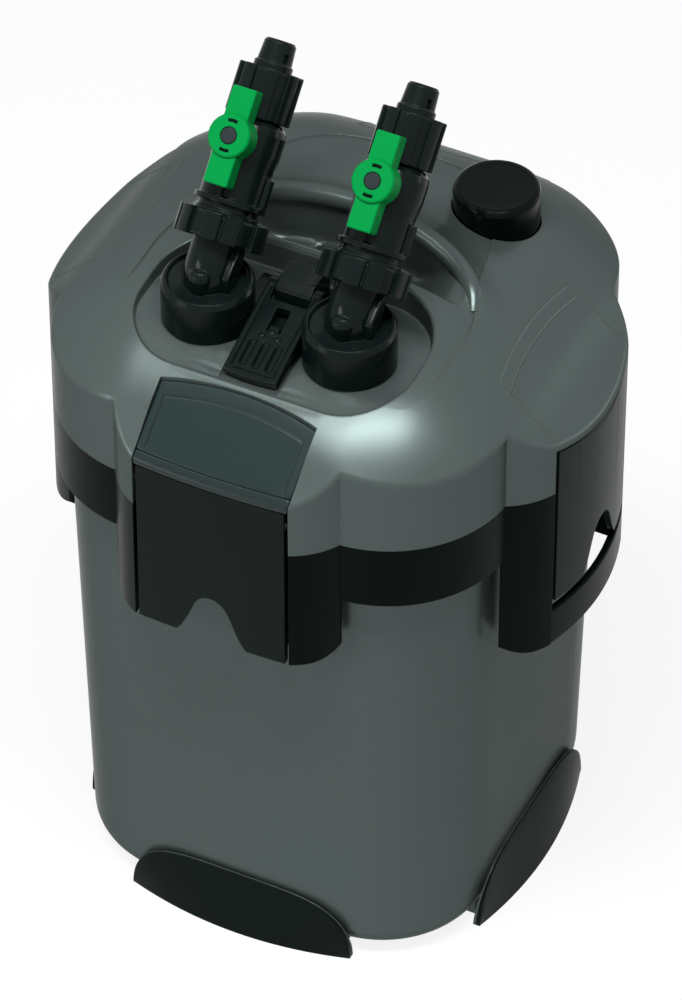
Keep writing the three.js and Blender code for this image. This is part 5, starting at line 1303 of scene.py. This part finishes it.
def make_lock_lever():
    """Lever with its knuckle, window, pawl and studs, laid down on the tongue."""
    nose = [(x, -LOCK_LENGTH + (x / LOCK_HALF) ** 2) for x in np.linspace(-LOCK_HALF, LOCK_HALF, 17)]
    outline = rounded_corners([*nose, (LOCK_HALF, -0.5), (-LOCK_HALF, -0.5)], 1.1, 3)
    lever = skin_solid("lock_lever", outline, lock_surface, KNUCKLE - LOCK_THICK, lock_lines(), 0.5, 1.3, 4)
    lever = fuse(lever, soften(cross_rod("knuckle", KNUCKLE, LOCK_HALF, 0, 0, 48), 0.5))
    gate = soften(block("gate", -YOKE_HALF - 0.5, YOKE_HALF + 0.5, -7.5, 8, -8, 8), 0.8)
    window = soften(block("window", -3.2, 3.2, -22.5, -10.5, -8, 8), 0.8)
    pin_bore = cross_rod("pin_bore", LOCK_PIN + RUNNING_GAP, LOCK_HALF + 2, 0, 0, 24)
    extras = [soften(block("pawl", -2.4, 2.4, -24.2, -19.5, 0.2, KNUCKLE - 0.9), 0.5)]
    for x, y in LOCK_STUDS:
        stud = revolve("stud", [(0, 0), (1.5, 0), (1.5, 1.2), (1.0, 2.0), (0, 2.3)], 24, 0.5, 3)
        extras.append(shift(stud, x, y, KNUCKLE - 2.4))
    lever = fuse(cut(lever, gate, window, pin_bore), *extras)
    return move(lever, Matrix.Translation((0, LOCK_Y, LOCK_Z)) @ Matrix.Rotation(LOCK_PITCH, 4, "X"))


# ---------------------------------------------------------------- taps, in each tap's own frame

SWIVEL_RADIUS, SWIVEL_LOBE, SWIVEL_PAIRS = 17.2, 19.5, 5
TAP_RADIUS, HUB, SHOULDER = 14.5, 37.5, 47.8
HOSE_TOP, HOSE_RADIUS, HOSE_LOBE, HOSE_LOBES = 69.4, 12.6, 14, 8
STUB_TOP, STUB_BASE, STUB_TIP, STUB_BORE = 82, 8.4, 6.9, 4.8
BALL_RADIUS, STEM_RADIUS = 10.9, 3.4
LEVER_LENGTH, LEVER_WIDTH, LEVER_HUB = 42, 11, 9.3
LEVER_BACK, LEVER_FACE, LEVER_HUB_FACE, CAP_RADIUS, BONNET_RADIUS = 15.3, 24, 25.6, 3.5, 6.4
MARK_INNER, MARK_OUTER, MARK_SPREAD = 5.7, 7.1, 19


HUB_PLACE = Matrix.Translation((0, 0, HUB)) @ Matrix.Rotation(math.pi / 2, 4, "X")
THREAD_RADIUS = HOSE_RADIUS - 2.2


def make_ring_tree():
    """Node tree that repeats the piece's own mesh evenly round Z and gives every copy one finish."""
    tree = bpy.data.node_groups.new("ring_of_copies", "GeometryNodeTree")
    identifiers = []
    for label, kind in (("Shape", "Geometry"), ("Copies", "Int"), ("Finish", "Material")):
        socket = tree.interface.new_socket(label, in_out="INPUT", socket_type="NodeSocket" + kind)
        identifiers.append(socket.identifier)
    tree.interface.new_socket("Ring", in_out="OUTPUT", socket_type="NodeSocketGeometry")
    given, end = tree.nodes.new("NodeGroupInput").outputs, tree.nodes.new("NodeGroupOutput")
    line = add_node(tree, "GeometryNodeMeshLine", {"Count": given["Copies"], "Offset": (0, 0, 0)})
    index = tree.nodes.new("GeometryNodeInputIndex").outputs[0]
    angle = maths(tree, "MULTIPLY", maths(tree, "DIVIDE", index, given["Copies"]), 2 * math.pi)
    about = add_node(tree, "ShaderNodeCombineXYZ", {"Z": angle})
    turn = add_node(tree, "FunctionNodeEulerToRotation", {0: about.outputs[0]})
    ring = add_node(tree, "GeometryNodeInstanceOnPoints", {
        "Points": line.outputs[0], "Instance": given["Shape"], "Rotation": turn.outputs[0]})
    whole = add_node(tree, "GeometryNodeRealizeInstances", {0: ring.outputs[0]})
    painted = add_node(tree, "GeometryNodeSetMaterial", {
        "Geometry": whole.outputs[0], "Material": given["Finish"]})
    feed(tree, end, {0: painted.outputs[0]})
    return tree, *identifiers[1:]


RING_TREE, RING_COPIES, RING_FINISH = make_ring_tree()


def ring_of(piece, copies):
    """Repeats a piece evenly round Z."""
    modifier = piece.modifiers.new("ring", "NODES")
    modifier.node_group = RING_TREE
    modifier[RING_COPIES] = copies
    modifier[RING_FINISH] = FINISHES["fitting_black"]
    return weld(bake(piece))


def lobe(middle, half_width, root, tip, low, high):
    """One square lobe of a union nut, with rounded edges."""
    outer = arc((0, 0), tip, middle - half_width + 0.8, middle + half_width - 0.8, 6)
    inner = arc((0, 0), root, middle + half_width, middle - half_width, 6)
    return soften(prism("lobe", [*outer, *inner], low, high), 0.6, 3, 40)


def make_nut(sign, core, rounding, lobes, room):
    """Nut on its tap: its turned core, its ring of lobes and the room inside it."""
    core = revolve("nut_core", core, 96, rounding, 3)
    return move(cut(fuse(core, lobes), revolve("nut_room", room, 96)), tap_place(sign))


def make_swivel_nut(sign):
    """Lower union nut with five pairs of lobes."""
    r, high, low = SWIVEL_RADIUS, SWIVEL_HALF, -SWIVEL_HALF
    pair = [lobe(-70 + s * 13.7, 11.7, r - 2.2, SWIVEL_LOBE, low, high) for s in (-1, 1)]
    lobes = ring_of(group_pieces("lobes", pair), SWIVEL_PAIRS)
    core = [(0, low + 0.5), (r - 0.9, low + 0.5), (r, low + 1.4), (r, high - 1.6), (r - 1.2, high - 0.3),
            (0, high - 0.3)]
    narrow, wide = ELBOW_RADIUS + 0.5, TAP_RADIUS - 0.2
    room = [(0, low - 1), (narrow, low - 1), (narrow, low + 2.9), (wide, low + 2.9), (wide, high + 1),
            (0, high + 1)]
    return make_nut(sign, core, 0.5, lobes, room)


def make_hose_nut(sign):
    """Upper nut with eight lobes."""
    r, low, high = HOSE_RADIUS, SHOULDER + RUNNING_GAP, HOSE_TOP
    lobes = ring_of(lobe(-67.5, 14, THREAD_RADIUS, HOSE_LOBE, low, high), HOSE_LOBES)
    core = [(0, low), (r - 0.5, low), (r, low + 0.6), (r, high - 1.1), (r - 0.8, high - 0.25),
            (0, high - 0.25)]
    wide, narrow = THREAD_RADIUS + RUNNING_GAP, STUB_BASE + 0.5
    room = [(0, SHOULDER - 1), (wide, SHOULDER - 1), (wide, high - 2.4), (narrow, high - 2.4),
            (narrow, high + 1), (0, high + 1)]
    return make_nut(sign, core, 0.4, lobes, room)


def hub_rod(name, radius, start, end, segments):
    """Round bar across a tap, through its hub."""
    return rod(name, radius, (0, start, HUB), (0, end, HUB), segments)


def make_tap_body(sign):
    """Turned tap body with its bonnet, ribs and hose stub."""
    r, thread, top = TAP_RADIUS, THREAD_RADIUS, HOSE_TOP
    ball_low, ball_high, chamber = HUB - BALL_RADIUS - 0.6, HUB + BALL_RADIUS + 0.6, BALL_RADIUS + 0.4
    body = revolve("tap_body", [
        (WATER_BORE, 0), (r - 0.5, 0), (r - 0.5, 7.1), (r - 1.4, 7.5), (r - 1.4, 10), (r + 0.9, 10),
        (r + 0.9, 12.4), (r - 0.8, 12.8), (r - 0.8, HUB - 11), (r - 0.4, HUB - 7), (r, HUB - 4),
        (r, SHOULDER - 5.2), (r - 0.7, SHOULDER - 2.6), (r - 2.6, SHOULDER - 0.6), (r - 4.0, SHOULDER),
        (thread, SHOULDER), (thread, top - 4), (STUB_BASE, top - 3), (STUB_BASE, top + 2.4),
        (STUB_BASE - 0.9, top + 3.2), (STUB_TIP, STUB_TOP - 1.2), (STUB_TIP - 1.0, STUB_TOP),
        (STUB_BORE, STUB_TOP), (STUB_BORE, ball_high + 4), (WATER_BORE, ball_high), (chamber, HUB + 6),
        (chamber, HUB - 6), (WATER_BORE, ball_low), (WATER_BORE, 0)], 96, 0.45, 3)
    bonnet = hub_rod("bonnet", BONNET_RADIUS, -LEVER_BACK - 1.6, -chamber - 1, 48)
    rib = soften(block("rib", -1.1, 1.1, -r - 0.9, -r + 3, 12.2, HUB - 10), 0.5)
    side_rib = soften(block("side_rib", r - 2.4, r + 1.2, -2.2, 2.2, 12.2, HUB - 12), 0.8)
    notch = soften(block("notch", STUB_TIP - 1.6, STUB_TIP + 4, -1.1, 1.1, top + 3.4, top + 7.4), 0.3)
    notch = move(notch, Matrix.Rotation(math.radians(-35), 4, "Z"))
    stem_hole = hub_rod("stem_hole", STEM_RADIUS + RUNNING_GAP, -LEVER_BACK - 5, 0, 40)
    return move(cut(fuse(body, bonnet, rib, side_rib), stem_hole, notch), tap_place(sign))


def lever_marks(gap, front, back):
    """The two short arcs above and below a lever's cap."""
    marks = []
    for middle in (90, 270):
        spread = MARK_SPREAD - gap * 6
        outer = arc((0, HUB), MARK_OUTER - gap, middle - spread, middle + spread, 10)
        inner = arc((0, HUB), MARK_INNER + gap, middle + spread, middle - spread, 10)
        marks.append(prism("mark", [*outer, *inner], front, back, "Y"))
    return marks


def make_tap_lever(sign):
    """Flat grip on a round hub, with room for its cap and marks."""
    half, face, back = LEVER_LENGTH / 2, LEVER_HUB_FACE, LEVER_BACK
    arm = rounded_box_line(-LEVER_WIDTH / 2, LEVER_WIDTH / 2, HUB - half, HUB + half, 1.0, 5)
    arm = soften(prism("arm", arm, -LEVER_FACE, -back, "Y"), 0.7, 4, 30)
    hub = revolve("hub", [(0, back), (LEVER_HUB, back), (LEVER_HUB, face - 0.8), (LEVER_HUB - 0.8, face),
                          (0, face)], 96, 0.5)
    tools = [hub_rod("bonnet_room", BONNET_RADIUS + 0.5, -back - 1.9, -back + 1, 64),
             hub_rod("stem_room", STEM_RADIUS + RUNNING_GAP, -LEVER_FACE + 2.7, -back + 1, 40),
             hub_rod("cap_room", CAP_RADIUS + RUNNING_GAP, -face - 1, -face + 1.6, 64)]
    tools += lever_marks(0.0, -face - 1, -face + 1.3)
    return move(cut(fuse(arm, move(hub, HUB_PLACE)), *tools), tap_place(sign))


def make_lever_cap(sign):
    """Disc in the middle of a tap lever."""
    face, r = LEVER_HUB_FACE, CAP_RADIUS
    profile = [(0, face - 1.5), (r, face - 1.5), (r, face - 0.1), (r - 0.4, face + 0.15), (0, face + 0.15)]
    return move(revolve("cap", profile, 64, 0.15, 3), tap_place(sign) @ HUB_PLACE)


def make_tap_marks(sign):
    """Dark inlays of the marks in a tap lever."""
    marks = lever_marks(0.08, -LEVER_HUB_FACE + 0.25, -LEVER_HUB_FACE + 1.25)
    return move(group_pieces("marks", marks), tap_place(sign))


# ---------------------------------------------------------------- priming button and seals

BUTTON_TOP, BUTTON_WALL, BUTTON_LOW, BUTTON_TRAVEL = 335.5, 1.9, 299, 8
BUTTON_STEM, BUTTON_STEM_LOW = 5, 298.5
SPRING_RADIUS, SPRING_WIRE, SPRING_COILS = 8.6, 0.7, 7
BEND_RINGS, BEND_START, BEND_PITCH, BEND_RADIUS, BEND_TAPER = 4, 13.2, 1.9, 6.2, 0.35


def make_button():
    """Cap of the priming button on its stem."""
    r, inner, top = BUTTON_RADIUS, BUTTON_RADIUS - BUTTON_WALL, BUTTON_TOP
    stem, foot = BUTTON_STEM, BUTTON_STEM_LOW
    profile = [(0, foot), (stem, foot), (stem, top - 3), (inner, top - 3),
               (inner, BUTTON_LOW), (r, BUTTON_LOW), (r, top - 2.6), (r - 0.5, top - 1.2),
               (r - 1.6, top - 0.25), (r - 2.8, top), (r - 4.5, top - 0.15), (0, top - 0.5)]
    return shift(revolve("button", profile, 120, 0.4, 3), *BUTTON)


def make_return_spring():
    """Coiled wire under the priming button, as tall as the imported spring."""
    low, high = (1000 * corner[2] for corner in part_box("prime_spring"))
    turns = np.linspace(0, SPRING_COILS, 24 * SPRING_COILS + 1)
    heights = low + SPRING_WIRE + (high - low - 2 * SPRING_WIRE) * turns / SPRING_COILS
    angles = 2 * np.pi * turns
    east, north = BUTTON[0] + SPRING_RADIUS * np.cos(angles), BUTTON[1] + SPRING_RADIUS * np.sin(angles)
    return tube("spring", np.column_stack([east, north, heights]), SPRING_WIRE, 12)


def fit_return_spring():
    """Settles the coiled spring on the filter in place of the imported one, with a mesh of its own."""
    spring = settle(make_return_spring(), "return_spring", "filter", slot_of["prime_spring"], "prime_spring",
                    finish="spring_wire")
    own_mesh(spring)


def make_gland():
    """Rubber sleeve of the cable gland, with rings that let it bend."""
    profile = [(GLAND_BORE, 0), (GLAND_NECK, 0), (GLAND_NECK, 9), (GLAND_RADIUS, 9), (GLAND_RADIUS, 11.6),
               (GLAND_RADIUS - 1.2, 12.2)]
    for n in range(BEND_RINGS):
        z, r = BEND_START + BEND_PITCH * n, BEND_RADIUS - BEND_TAPER * n
        profile += [(r - 0.9, z), (r - 0.9, z + 0.7), (r, z + 0.7), (r - 0.1, z + 1.7)]
    profile += [(GLAND_BORE + 0.6, 21), (GLAND_BORE, 21), (GLAND_BORE, 0)]
    turn = Matrix.Rotation(-math.pi / 2, 4, "X")
    place = Matrix.Translation((GLAND_X, GLAND_WALL_Y - 5.5, GLAND_Z))
    return move(revolve("cable_gland", profile, 64, 0.25, 3), place @ turn)


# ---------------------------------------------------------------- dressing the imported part


def dress_part():
    """Makes every visible piece and lets it stand for its solid."""
    black = "black_plastic"
    settle(make_canister(), "canister_shell", "filter", "silver_shell", "canister")
    settle(make_head_cover(), "head_cover_shell", "filter", "silver_shell", "head_cover")
    settle(make_head_ring(), "band_and_guards", "filter", black, "head_ring")
    settle(make_front_pad(), "front_pad_plate", "filter", "dark_pad", "front_pad")
    settle(make_pad_lip(), "front_pad_lip", "filter", black, finish="pad_edge")
    settle(make_adapter(), "adapter_moulding", "filter", black, "hose_adapter", "fitting_black")
    settle(make_lock_lever(), "lock_lever_moulding", "lock_lever", black, "lock_lever", "fitting_black")
    settle(make_button(), "button_cap", "prime_button", black, "prime_button", "button_black")
    fit_return_spring()
    settle(make_gland(), "cable_sleeve", "filter", "seal_rubber", "cable_gland")
    for side, name in enumerate(SIDES):
        settle(make_foot(side, True), "foot_cover_" + name, "filter", "foot_cover", "foot_" + name)
        settle(make_foot(side, False), "foot_lining_" + name, "filter", "silver_shell")
        latch = "latch_" + name
        settle(make_latch(side), "latch_clip_" + name, latch, black, latch, "latch_black")
        settle(make_latch_pin(side), "latch_axle_" + name, "filter", "steel_pin", "latch_pin_" + name)
    for sign, name in ((-1, "left"), (1, "right")):
        swivel_nut, hose_nut, handle = "swivel_nut_" + name, "hose_nut_" + name, "tap_handle_" + name
        settle(make_swivel_nut(sign), "union_nut_" + name, swivel_nut, black, swivel_nut, "fitting_black")
        settle(make_hose_nut(sign), "hose_clamp_nut_" + name, hose_nut, black, hose_nut, "fitting_black")
        settle(make_tap_body(sign), "valve_body_" + name, "filter", black, "tap_body_" + name,
               "fitting_black")
        settle(make_tap_lever(sign), "tap_grip_" + name, handle, "green_lever", "tap_lever_" + name)
        settle(make_lever_cap(sign), "tap_cap_" + name, handle, "lever_cap", "lever_cap_" + name)
        settle(make_tap_marks(sign), "tap_marks_" + name, handle, black)


dress_part()
